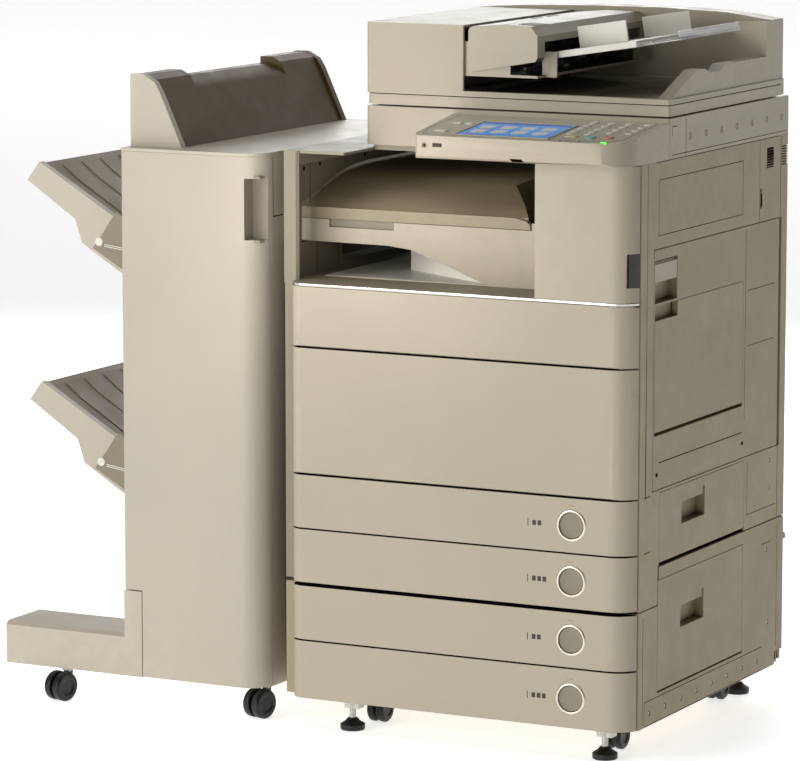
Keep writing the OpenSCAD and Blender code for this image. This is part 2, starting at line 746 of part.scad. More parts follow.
module feeder_body() {
  color(beige) place() {
    difference() {
      union() {
        // Base
        translate([reader_x + 3, reader_y, feeder_z]) linear_extrude(26) plan(rd_w - 3, 590 - reader_y, 10, 4);
        // Left casing
        translate([reader_x, reader_y, feeder_z + 18]) linear_extrude(feeder_top - feeder_z - 18)
          plan(case_right - reader_x, 590 - reader_y, 10, 2);
        // Rear wall, slightly crowned
        translate([0, 590, 0]) rotate([90, 0, 0]) linear_extrude(50)
          polygon([[reader_x, 1010], [body_w - 2, 1010], [body_w - 2, 1120], [540, 1130], [430, 1134],
                   [300, 1134], [180, 1131], [reader_x, 1126]]);
        // Right side wall with its ramp and thumb notch
        translate([body_w - 24, 0, 0]) rotate([90, 0, 90]) linear_extrude(22)
          polygon([[reader_y + 8, 1010], [reader_y + 8, 1022], [238, 1060], [272, 1060], [292, 1052], [330, 1052],
                   [350, 1062], [520, 1062], [520, 1010]]);
        span([body_w - 60, 520, 1010], [body_w - 2, 590, 1118]);
      }
      // Hollow left casing, open to the right under the cover
      span([reader_x + 4, reader_y + 4, feeder_z + 28], [case_right + 1, 540, feeder_top - 4]);
      // Output floor, dished
      translate([0, 520, 0]) rotate([90, 0, 0]) linear_extrude(520 - reader_y - 14)
        polygon([[case_right + 4, 1018], [420, 1008], [590, 1014], [596, 1040], [case_right + 4, 1040]]);
    }
    // Roller bearers
    for (y = [reader_y + 6, 528])
      difference() {
        union() {
          span([case_right - 4, y, 1046], [345, y + 5, 1100]);
          span([cover_axis[0] - 4, y, 1046], [cover_axis[0] + 4, y + 5, cover_axis[1]]);
          rod_y([cover_axis[0], y, cover_axis[1]], 4.4, 5);
        }
        rod_y([330, y - 1, 1086], 5.05, 8);
        rod_y([cover_axis[0], y - 1, cover_axis[1]], 2.05, 8);
      }
    // Plate that joins the bearers to the casing and guides the sheets
    span([case_right - 30, reader_y + 6, 1046], [392, 533, 1050]);
    span([case_right - 30, reader_y + 6, feeder_z + 26], [case_right - 26, 533, 1050]);
    // Lugs and pins of the document tray
    for (y = [[166, 16], [512, -16]]) {
      span([tray_pivot[0] - 20, y[0], 1046], [tray_pivot[0] + 5, y[0] + 4, tray_axis[1] + 5]);
      rod_y([tray_axis[0], min(y[0], y[0] + y[1]), tray_axis[1]], 2, 20);
    }
    // Hinge arms
    for (x = [160, 540]) {
      span([x - 7, 588, 998], [x + 7, 602, 1008]);
      rod_x([x - 7, 602, 1003], 5, 14);
      rod_x([x - 14, 602, 1003], 4, 28);
    }
  }
}

cover_x0 = 274;
cover_x1 = 394;
cover_y1 = 538;

module feeder_cover() {
  color(beige) place() {
    difference() {
      translate([0, cover_y1, 0]) rotate([90, 0, 0]) linear_extrude(cover_y1 - reader_y - 1)
        polygon([[cover_x0, 1052], [cover_x1 - 4, 1072], [cover_x1, 1078], [cover_x1, 1112],
                 [cover_x1 - 12, 1127], [340, 1129], [282, 1124.6], [277, 1123], [cover_x0, 1118]]);
      // Hollow, open at the left and below
      translate([0, cover_y1 - 3, 0]) rotate([90, 0, 0]) linear_extrude(cover_y1 - reader_y - 7)
        polygon([[cover_x0 - 1, 1040], [cover_x1 - 6, 1060], [cover_x1 - 3, 1080], [cover_x1 - 3, 1110],
                 [cover_x1 - 14, 1124], [340, 1126], [284, 1121.6], [cover_x0 - 1, 1121.2]]);
      // Slot where the sheets enter
      span([cover_x1 - 16, 158, 1050], [cover_x1 + 1, 522, 1102]);
    }
    for (y = [reader_y + 3, cover_y1 - 13])
      rod_y([cover_axis[0], y, cover_axis[1]], 2, 11);
  }
}

module feed_roller() {
  color(dark) place() {
    rod_y([330, reader_y + 5, 1086], 5, 399);
    for (y = [250, 330, 400]) rod_y([330, y, 1086], 14, 26);
  }
}

// The sloping document tray and what rides on it.
tray_pivot = [406, 1080];
tray_slope = 9;
tray_axis = tray_pivot + [-sin(tray_slope), cos(tray_slope)];
module on_tray() { translate([tray_pivot[0], 0, tray_pivot[1]]) rotate([0, -tray_slope, 0]) children(); }

module document_tray() {
  color(off_white) place() on_tray()
    difference() {
      union() {
        span([0, 172, -4], [140, 510, 6]);
        rod_y([0, 172, 1], 5, 338);
      }
      // Slot for the clear extension and the guide tracks
      span([12, 180, -2.2], [141, 420, 2.2]);
      for (y0 = [190, 350]) span([30, y0, 2], [90, y0 + 130, 7]);
      rod_y([0, 171, 1], 2.05, 340);
    }
}

module document_extension() {
  color([0.8, 0.85, 0.88, 0.5]) place() on_tray() {
    span([60, 182, -1.8], [212, 418, 1.8]);
    span([208, 182, 1.7], [212, 418, 12]);
  }
}

module guide(y0, s) {
  span([32, min(y0, y0 + s * 20), 2.3], [88, max(y0, y0 + s * 20), 5.4]);
  span([24, min(y0, y0 + s * 4), 6.4], [108, max(y0, y0 + s * 4), 40]);
  span([32, min(y0, y0 + s * 4), 5.3], [88, max(y0, y0 + s * 4), 6.5]);
}

module document_guide_front() { color(off_white) place() on_tray() guide(214, 1); }
module document_guide_rear() { color(off_white) place() on_tray() guide(466, -1); }

// Casters -----------------------------------------------------------------------------------

// Twin wheels on one axle, axle along X through the origin.
module twin_wheels(r, w, gap) {
  for (s = [-1, 1])
    rotate([0, 90, 0]) rotate_extrude()
      polygon([[0, s * gap / 2], [r - 1.5, s * gap / 2], [r, s * (gap / 2 + 2)], [r, s * (gap / 2 + w - 3)],
               [r - 3, s * (gap / 2 + w)], [r * 0.6, s * (gap / 2 + w)], [r * 0.5, s * (gap / 2 + w - 2)],
               [0, s * (gap / 2 + w - 2)]]);
  rod_x([-gap / 2 - 1, 0, 0], 3, gap + 2);
}

module caster_pair(y) {
  color(dark) place() for (x = [134, 552]) translate([x, y, 23]) twin_wheels(22, 12, 6);
}
module front_caster_wheels() { caster_pair(100); }
module rear_caster_wheels() { caster_pair(500); }

// Finisher ----------------------------------------------------------------------------------

fin_r = 24;
fin_axle_z = 24;
trail = 17;
// Trailing direction of the swivel casters as they stand
trail_turn = 255;
fork_left = [-404, 18];
fork_right = [-50, 54];
slot_ys = [150, 440];
// Depth of the finisher's door, and its hinge axis
door_y = 38;
fin_hinge = [fin_x + 6, 6];
// Axis of the turret's cover
turret_axis = [fin_x + 5, 1006];

module finisher_frame() {
  color(beige) place() {
    difference() {
      union() {
        span([fin_x, door_y + 2, 54], [fin_x + 4, 616, fin_top]);
        span([fin_right - 4, door_y + 2, 54], [fin_right, 616, fin_top]);
        span([fin_x, 612, 54], [fin_right, 616, fin_top]);
        span([fin_x, door_y + 2, 54], [fin_right, 616, 62]);
        span([fin_x, door_y + 2, fin_top - 8], [fin_right, 616, fin_top]);
        // Deck over the door, with the casing's rounded corner
        translate([fin_x, 0, fin_top - 5]) linear_extrude(5) plan(fin_right - fin_x, 60, 3, fin_corner);
        // Block beside the foot
        span([fin_x, 0, 54], [fin_x + 33, door_y + 2 + eps, 196]);
        // Turret: two cheeks and a back
        for (y = [34, 586]) translate([0, y + 14, 0]) rotate([90, 0, 0]) linear_extrude(14) turret_side();
        span([fin_x, 34, fin_top - eps], [fin_x + 4, 600, 1000]);
        // Feet
        for (y = [0, 500])
          translate([0, y, 0]) rotate([90, 0, 90]) translate([0, 0, fin_foot_x]) linear_extrude(fin_x - fin_foot_x + eps)
            polygon([[0, 54], [0, 118], [6, 124], [104, 124], [116, 112], [116, 54]]);
      }
      // Lift slots for the stack trays, and the opening towards the copier
      for (y = slot_ys) span([fin_x - 1, y - 9, 150], [fin_x + 5, y + 9, 880]);
      span([fin_right - 5, 120, 730], [fin_right + 1, 560, 880]);
      // Caster sockets
      translate([fork_left[0], fork_left[1], 50]) cylinder(r = 5.05, h = 40);
      translate([fork_right[0], fork_right[1], 50]) cylinder(r = 5.05, h = 20);
      // Door pin bores
      translate([fin_hinge[0], fin_hinge[1], 190]) cylinder(r = 3.05, h = 10);
      translate([fin_hinge[0], fin_hinge[1], fin_top - 6]) cylinder(r = 3.05, h = 5);
      // Bores of the turret cover
      rod_y([turret_axis[0], 40, turret_axis[1]], 2.05, 10);
      rod_y([turret_axis[0], 584, turret_axis[1]], 2.05, 10);
    }
    // Socket boss for the right caster
    difference() {
      translate([fork_right[0], fork_right[1], 62 - eps]) cylinder(r = 11, h = 30);
      translate([fork_right[0], fork_right[1], 50]) cylinder(r = 5.05, h = 36);
    }
    // Fixed rear casters
    for (x = [fork_left[0], fork_right[0]])
      difference() {
        span([x - 2.5, 556, 14], [x + 2.5, 580, 54 + eps]);
        rod_x([x - 4, 568, fin_axle_z], 3.05, 8);
      }
  }
}

turret_top = 1036;
// Drop of the turret cover's middle below the cheeks
turret_dip = 12;

// End profile of the turret.
module turret_side() {
  polygon([[fin_x, fin_top - eps], [fin_x, turret_top], [-262, turret_top], [-240, turret_top - 12],
           [-230, turret_top - 28], [-190, fin_top - eps]]);
}

// Bent sheet of the turret cover between two Y planes, drop below the cheeks.
module turret_shell(y0, y1, drop) {
  top = turret_top - drop;
  translate([0, y1, 0]) rotate([90, 0, 0]) linear_extrude(y1 - y0)
    polygon([[fin_x + 0.5, 1002], [fin_x + 0.5, top], [-262, top], [-246, top - 8], [-234, turret_top - 31],
             [-194, fin_top + 0.5], [-198, fin_top + 0.5], [-238, turret_top - 33], [-249, top - 11],
             [-263, top - 4], [fin_x + 4, top - 4], [fin_x + 4, 1002]]);
}

// Wall between a flush end and the lowered middle.
module turret_rib(y) {
  translate([0, y + 3, 0]) rotate([90, 0, 0]) linear_extrude(3)
    polygon([[fin_x + 0.5, turret_top - 16], [fin_x + 0.5, turret_top - 1], [-262, turret_top - 1],
             [-246, turret_top - 9], [-234, turret_top - 31], [-238, turret_top - 33], [-249, turret_top - 23],
             [-263, turret_top - 16]]);
}

module turret_cover() {
  color(taupe) place()
    difference() {
      union() {
        // Flush ends and a lowered middle
        turret_shell(48.5, 160, 1);
        turret_shell(160, 466, turret_dip);
        turret_shell(466, 585.5, 1);
        for (y = [157, 466]) turret_rib(y);
        rod_y([turret_axis[0], 49, turret_axis[1]], 4, 536);
        rod_y([turret_axis[0], 42, turret_axis[1]], 2, 550);
      }
    }
}

module finisher_door() {
  color(beige) place() {
    top = fin_top - 5.3;
    difference() {
      union() {
        difference() {
          translate([fin_x, 0, 198]) linear_extrude(top - 198) door_plan(0);
          translate([fin_x, 0, 202]) linear_extrude(top - 206) door_plan(4);
        }
        // Lower part, beside the block
        difference() {
          translate([fin_x, 0, 55]) linear_extrude(143 + eps)
            difference() { door_plan(0); square([34.5, 60]); }
          translate([fin_x, 0, 59]) linear_extrude(150)
            difference() { door_plan(4); square([38.5, 60]); }
        }
        // Hinge barrel and pins
        translate([fin_hinge[0], fin_hinge[1], 198]) cylinder(r = 5.9, h = top - 198);
        translate([fin_hinge[0], fin_hinge[1], 192]) cylinder(r = 3, h = top - 192 + 4);
      }
      // Grip slot on the rounded corner
      span([-58, -1, 782], [fin_right + 1, 30, 880]);
    }
    // Cup behind the grip slot
    difference() {
      span([-62, 8, 778], [fin_right - 3, 33, 884]);
      span([-58, 7, 782], [fin_right, 30, 880]);
    }
  }
}

// Plan of the finisher door, shrunk by a wall's thickness and left open at the back for its hollow.
module door_plan(t) {
  translate([t, t])
    plan(fin_right - fin_x - 2 * t, t > 0 ? 60 : door_y, t > 0 ? 3 : 6, fin_corner - t);
}

tray_hi = 852;
tray_lo = 488;

// Stack tray: a sloping bin with side cheeks and two arms that enter the lift slots.
module stack_tray(z) {
  color(taupe) place() translate([0, 0, z]) {
    difference() {
      union() {
        translate([0, 540, 0]) rotate([90, 0, 0]) linear_extrude(480)
          polygon([[-498, 0], [-477, 28], [-468, 22], [-436, -3], [-324, -72], [-290, -93], [-290, -110], [-330, -110],
                   [-394, -99], [-407, -60]]);
        for (y = [60, 526])
          translate([0, y + 14, 0]) rotate([90, 0, 0]) linear_extrude(14)
            polygon([[-498, 0], [-474, 31], [-324, -58], [-288, -78], [-288, -160], [-325, -141], [-394, -99],
                     [-407, -60]]);
      }
      // Open underside between the cheeks
      translate([0, 525, 0]) rotate([90, 0, 0]) linear_extrude(450)
        polygon([[-480, -12], [-472, 2], [-326, -88], [-289, -106], [-280, -125], [-330, -125], [-420, -106],
                 [-420, -60]]);
    }
    for (y = slot_ys) {
      span([-300, y - 7, -98], [fin_x + 8, y + 7, -88]);
      span([fin_x + 6, y - 16, -106], [fin_x + 12, y + 16, -80]);
    }
  }
}

module upper_stack_tray() { stack_tray(tray_hi); }
module lower_stack_tray() { stack_tray(tray_lo); }

// Swivel caster of the finisher, in a frame whose +X is the trailing direction.
module on_caster(at) { translate([at[0], at[1], 0]) rotate([0, 0, trail_turn]) children(); }

module swivel_fork(at, stem) {
  color(dark) place() on_caster(at) {
    difference() {
      union() {
        translate([0, 0, 49]) cylinder(r = 10, h = 4.6);
        translate([0, 0, 46]) cylinder(r = 5, h = stem);
        translate([-8, -2.5, 30]) cube([16, 5, 22]);
        hull() {
          translate([-8, -2.5, 36]) cube([14, 5, 12]);
          translate([trail, 2.5, fin_axle_z]) rotate([90, 0, 0]) cylinder(r = 8, h = 5, $fn = 32);
        }
      }
      translate([trail, 4, fin_axle_z]) rotate([90, 0, 0]) cylinder(r = 3.05, h = 8);
    }
  }
}

module swivel_wheel(at) {
  color(dark) place() on_caster(at) translate([trail, 0, fin_axle_z]) rotate([0, 0, 90]) twin_wheels(fin_r, 14, 6);
}

module finisher_fork_left() { swivel_fork(fork_left, 34); }
module finisher_fork_right() { swivel_fork(fork_right, 34); }
module finisher_wheel_left() { swivel_wheel(fork_left); }
module finisher_wheel_right() { swivel_wheel(fork_right); }
module finisher_rear_wheels() {
  color(dark) place()
    for (x = [fork_left[0], fork_right[0]]) translate([x, 568, fin_axle_z]) twin_wheels(fin_r, 14, 6);
}

// Nodes -------------------------------------------------------------------------------------

pedestal_frame();
main_frame();
right_side_cover();
rear_cover();
front_right_cover();
levelling_feet();
output_tray();
output_fascia();
reader_housing();
platen_glass();
panel_housing();
panel_screen();
transfer_unit();
toner_bottles();
drum_units();
scan_carriage();
feeder_body();
feeder_cover();
document_tray();
document_extension();
document_guide_front();
document_guide_rear();
feed_roller();
start_key();
stop_key();
number_keys();
power_switch_cover();
power_switch();
toner_cover();
front_cover();
drawer_front(0);  // drawer_front_1
drawer_front(1);  // drawer_front_2
drawer_front(2);  // drawer_front_3
drawer_front(3);  // drawer_front_4
cassette(0);  // cassette_1
cassette(1);  // cassette_2
cassette(2);  // cassette_3
cassette(3);  // cassette_4
release_button(0);  // release_button_1
release_button(1);  // release_button_2
release_button(2);  // release_button_3
release_button(3);  // release_button_4
fuser_roller();
right_door();
door_latch();
bypass_tray();
lower_right_door();
pedestal_door();
front_caster_wheels();
rear_caster_wheels();
finisher_frame();
finisher_door();
turret_cover();
upper_stack_tray();
lower_stack_tray();
finisher_fork_left();
finisher_fork_right();
finisher_wheel_left();
finisher_wheel_right();
finisher_rear_wheels();
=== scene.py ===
import json
import math

import bmesh
import bpy
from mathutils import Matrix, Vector


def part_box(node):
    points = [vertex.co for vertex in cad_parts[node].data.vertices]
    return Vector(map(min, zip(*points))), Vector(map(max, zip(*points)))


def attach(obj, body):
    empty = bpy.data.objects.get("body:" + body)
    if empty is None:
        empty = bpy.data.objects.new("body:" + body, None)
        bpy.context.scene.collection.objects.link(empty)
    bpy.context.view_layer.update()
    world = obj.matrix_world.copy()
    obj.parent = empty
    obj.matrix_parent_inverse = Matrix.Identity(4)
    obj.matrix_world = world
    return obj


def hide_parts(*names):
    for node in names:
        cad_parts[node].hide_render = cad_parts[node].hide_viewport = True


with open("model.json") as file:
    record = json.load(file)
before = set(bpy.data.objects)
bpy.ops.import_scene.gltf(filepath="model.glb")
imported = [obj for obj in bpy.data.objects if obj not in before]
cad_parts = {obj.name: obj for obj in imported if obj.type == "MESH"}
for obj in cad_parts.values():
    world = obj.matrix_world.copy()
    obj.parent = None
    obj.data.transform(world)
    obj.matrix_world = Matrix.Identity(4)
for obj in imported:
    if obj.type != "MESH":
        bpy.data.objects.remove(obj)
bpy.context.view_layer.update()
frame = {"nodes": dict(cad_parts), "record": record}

MM = 0.001
record = frame["record"]
BODY_OF = {node: body for body, nodes in record["behaviour"]["bodies"].items() for node in nodes}

# The copier's own corner: left side, front face, floor. Lengths below are millimetres from it.
# The front covers start FRONT_X in from the left side; CORNER_L and CORNER_R are their corner radii.
CORNER = Vector((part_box("main_frame")[0].x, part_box("front_cover")[0].y, 0.0))
WIDTH = 620
FRONT_X = 20
CORNER_L = 25
CORNER_R = 42


def at(x, y, z):
    """A place in the copier's own millimetres, in the frame's metres."""
    return CORNER + Vector((x, y, z)) * MM


def span_mm(node):
    """A CAD node's box in the copier's own millimetres."""
    lo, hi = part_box(node)
    return (lo - CORNER) / MM, (hi - CORNER) / MM


# ---------------------------------------------------------------- camera, light, stage

BACK_AZIMUTH = math.radians(27.15)
BACK_ELEVATION = math.radians(8.57)
AIM = at(220.6, 0, 576.2)
CAMERA_DISTANCE = 7.005
SENSOR = 36.0
LENS = 201.2


def make_camera():
    data = bpy.data.cameras.new("camera")
    data.sensor_width = SENSOR
    data.lens = LENS
    data.clip_end = 60
    camera = bpy.data.objects.new("camera", data)
    bpy.context.scene.collection.objects.link(camera)
    a, e = BACK_AZIMUTH, BACK_ELEVATION
    back = Vector((math.sin(a) * math.cos(e), -math.cos(a) * math.cos(e), math.sin(e)))
    camera.location = AIM + back * CAMERA_DISTANCE
    camera.rotation_mode = "QUATERNION"
    camera.rotation_quaternion = (-back).to_track_quat("-Z", "Y")
    bpy.context.scene.camera = camera


def area_light(name, place, target, size, watts, colour=(1, 1, 1)):
    data = bpy.data.lights.new(name, "AREA")
    data.shape = "RECTANGLE"
    data.size, data.size_y = size
    data.energy = watts
    data.color = colour
    light = bpy.data.objects.new(name, data)
    bpy.context.scene.collection.objects.link(light)
    light.location = place
    light.visible_camera = False
    light.rotation_mode = "QUATERNION"
    light.rotation_quaternion = (Vector(target) - Vector(place)).to_track_quat("-Z", "Y")


def make_light():
    area_light("key", (-2.6, -4.0, 2.0), (-0.1, 0, 0.6), (2.2, 2.4), 108, (1.0, 0.985, 0.955))
    area_light("front fill", (-0.4, -4.4, 0.75), (0.1, 0, 0.75), (2.4, 1.2), 33, (1.0, 0.985, 0.955))
    area_light("bay fill", at(120, -240, 850), at(200, 300, 836), (0.3, 0.1), 0.5, (1.0, 0.97, 0.93))
    area_light("top", (0.0, -0.6, 3.4), (0, 0, 0.5), (2.6, 2.6), 24)
    area_light("rear", (-1.2, 3.8, 2.0), (0, 0, 0.6), (2.6, 2.0), 62)
    world = bpy.data.worlds.new("studio")
    bpy.context.scene.world = world
    world.use_nodes = True
    sky = world.node_tree.nodes["Background"]
    nodes, links = world.node_tree.nodes, world.node_tree.links
    split = nodes.new("ShaderNodeSeparateXYZ")
    side = nodes.new("ShaderNodeMapRange")
    links.new(nodes.new("ShaderNodeTexCoord").outputs["Generated"], split.inputs["Vector"])
    links.new(split.outputs["X"], side.inputs["Value"])
    side.inputs["From Min"].default_value = -0.6
    side.inputs["From Max"].default_value = 0.8
    side.inputs["To Min"].default_value = 0.46
    side.inputs["To Max"].default_value = 0.12
    links.new(side.outputs["Result"], sky.inputs["Strength"])
    bpy.context.scene.view_settings.view_transform = "Standard"


def make_stage():
    material = bpy.data.materials.new("pale_floor")
    material.use_nodes = True
    shader = material.node_tree.nodes["Principled BSDF"]
    shader.inputs["Base Color"].default_value = (0.9, 0.9, 0.9, 1)
    shader.inputs["Emission Color"].default_value = (1, 1, 1, 1)
    shader.inputs["Emission Strength"].default_value = 0.68
    shader.inputs["Roughness"].default_value = 0.6
    half, rise, far, steps = 14.0, 9.0, 13.0, 16
    profile = [(-half, 0.0), (far - 2.0, 0.0)]
    profile += [(far - 2.0 + 2.0 * math.sin(math.pi / 2 * i / steps),
                 2.0 - 2.0 * math.cos(math.pi / 2 * i / steps)) for i in range(1, steps + 1)]
    profile.append((far, rise))
    bm = bmesh.new()
    rows = [[bm.verts.new((x, y, z)) for x in (-half, half)] for y, z in profile]
    for a, b in zip(rows, rows[1:]):
        bm.faces.new((a[0], a[1], b[1], b[0]))
    mesh = bpy.data.meshes.new("stage")
    bm.to_mesh(mesh)
    bm.free()
    mesh.materials.append(material)
    mesh.shade_smooth()
    stage = bpy.data.objects.new("stage", mesh)
    bpy.context.scene.collection.objects.link(stage)


# ---------------------------------------------------------------- materials

def linear(hex_colour):
    """A linear colour from an sRGB hex string."""
    parts = [int(hex_colour[i:i + 2], 16) / 255 for i in (0, 2, 4)]
    return tuple(c / 12.92 if c <= 0.04045 else ((c + 0.055) / 1.055) ** 2.4 for c in parts)


class Shader:
    """A Principled material whose nodes are added one by one."""

    def __init__(self, name):
        self.material = bpy.data.materials.new(name)
        self.material.use_nodes = True
        self.tree = self.material.node_tree
        self.main = self.tree.nodes["Principled BSDF"]
        self.place = self.node("ShaderNodeTexCoord").outputs["Object"]

    def node(self, kind, **values):
        made = self.tree.nodes.new(kind)
        for key, value in values.items():
            setattr(made, key, value)
        return made

    def link(self, source, target):
        self.tree.links.new(source, target)

    def noise(self, scale, detail=3.0, rough=0.5, stretch=(1, 1, 1)):
        mapping = self.node("ShaderNodeMapping")
        mapping.inputs["Scale"].default_value = stretch
        self.link(self.place, mapping.inputs["Vector"])
        made = self.node("ShaderNodeTexNoise")
        made.inputs["Scale"].default_value = scale
        made.inputs["Detail"].default_value = detail
        made.inputs["Roughness"].default_value = rough
        self.link(mapping.outputs["Vector"], made.inputs["Vector"])
        return made.outputs["Fac"]

    def span(self, value, low, high, start=0.3, end=0.7):
        made = self.node("ShaderNodeMapRange")
        self.link(value, made.inputs["Value"])
        made.inputs["From Min"].default_value = start
        made.inputs["From Max"].default_value = end
        made.inputs["To Min"].default_value = low
        made.inputs["To Max"].default_value = high
        return made.outputs["Result"]

    def mix(self, factor, a, b):
        made = self.node("ShaderNodeMix", data_type="RGBA")
        self.link(factor, made.inputs["Factor"])
        for socket, value in ((made.inputs["A"], a), (made.inputs["B"], b)):
            if isinstance(value, tuple):
                socket.default_value = value + (1,)
            else:
                self.link(value, socket)
        return made.outputs["Result"]

    def bump(self, height, strength, distance):
        made = self.node("ShaderNodeBump")
        made.inputs["Strength"].default_value = strength
        made.inputs["Distance"].default_value = distance
        self.link(height, made.inputs["Height"])
        self.link(made.outputs["Normal"], self.main.inputs["Normal"])

    def wear(self, colour, lighter, amount=0.55):
        """Blends a lighter colour in along convex edges, broken up by noise."""
        edge = self.node("ShaderNodeNewGeometry").outputs["Pointiness"]
        edges = self.span(edge, 0.0, amount, 0.53, 0.62)
        broken = self.node("ShaderNodeMath", operation="MULTIPLY")
        self.link(edges, broken.inputs[0])
        self.link(self.span(self.noise(55, 4), 0.2, 1.0), broken.inputs[1])
        return self.mix(broken.outputs["Value"], colour, lighter)


def scaled(colour, k):
    return tuple(min(1.0, c * k) for c in colour)


def plastic(name, hex_colour, rough=0.46, grain=0.22, grain_scale=2600, spread=0.05, specular=0.42, coat=0.0):
    """Moulded plastic: spark-eroded grain, slow colour drift, handling marks and paler edges."""
    s = Shader(name)
    base = linear(hex_colour)
    drift = s.mix(s.span(s.noise(3.2, 4), 0.0, 1.0), scaled(base, 1 - spread), scaled(base, 1 + spread * 0.7))
    speck = s.mix(s.span(s.noise(900, 2), 0.0, 0.35, 0.45, 0.75), drift, scaled(base, 0.9))
    s.link(s.wear(speck, scaled(base, 1.22), 0.4), s.main.inputs["Base Color"])
    s.link(s.span(s.noise(24, 5, 0.6), rough - 0.06, rough + 0.08), s.main.inputs["Roughness"])
    s.main.inputs["Specular IOR Level"].default_value = specular
    s.main.inputs["Coat Weight"].default_value = coat
    s.main.inputs["Coat Roughness"].default_value = 0.15
    s.bump(s.noise(grain_scale, 2, 0.65), grain, 0.00008)
    return s.material


def metal(name, hex_colour, rough=0.2, brushed=(1, 1, 1), scratches=0.15, metallic=1.0):
    """Plated or painted metal with fine directional scratches and smudges."""
    s = Shader(name)
    base = linear(hex_colour)
    s.link(s.mix(s.span(s.noise(14, 5), 0.0, 1.0), scaled(base, 0.93), base), s.main.inputs["Base Color"])
    s.main.inputs["Metallic"].default_value = metallic
    s.link(s.span(s.noise(60, 5, 0.7, brushed), rough, rough + 0.14), s.main.inputs["Roughness"])
    s.bump(s.noise(700, 3, 0.6, brushed), scratches, 0.00006)
    return s.material


def rubber(name, hex_colour, rough=0.62):
    s = Shader(name)
    base = linear(hex_colour)
    dusty = s.mix(s.span(s.noise(30, 6, 0.7), 0.0, 0.5, 0.42, 0.75), base, scaled(base, 2.6))
    s.link(dusty, s.main.inputs["Base Color"])
    s.link(s.span(s.noise(120, 4), rough - 0.08, rough + 0.12), s.main.inputs["Roughness"])
    s.bump(s.noise(1400, 3, 0.6), 0.35, 0.00012)
    return s.material


def clear(name, hex_colour, alpha, rough=0.06, transmission=0.9):
    """Glass or clear plastic with faint smears."""
    s = Shader(name)
    s.link(s.mix(s.span(s.noise(9, 4), 0.0, 1.0), scaled(linear(hex_colour), 0.95), linear(hex_colour)),
           s.main.inputs["Base Color"])
    s.link(s.span(s.noise(35, 5, 0.65), rough, rough + 0.1), s.main.inputs["Roughness"])
    s.main.inputs["Transmission Weight"].default_value = transmission
    s.main.inputs["Alpha"].default_value = alpha
    s.main.inputs["IOR"].default_value = 1.49
    s.bump(s.noise(220, 2), 0.03, 0.00005)
    return s.material


def lit(name, hex_colour, strength, second=None):
    """A lit display or lamp whose light drifts slowly from one colour to another."""
    s = Shader(name)
    base = linear(hex_colour)
    other = linear(second) if second else scaled(base, 0.8)
    drift = s.mix(s.span(s.noise(11, 2), 0.0, 1.0), base, other)
    s.link(drift, s.main.inputs["Base Color"])
    s.link(drift, s.main.inputs["Emission Color"])
    s.main.inputs["Emission Strength"].default_value = strength
    s.link(s.span(s.noise(40, 3), 0.12, 0.24), s.main.inputs["Roughness"])
    return s.material


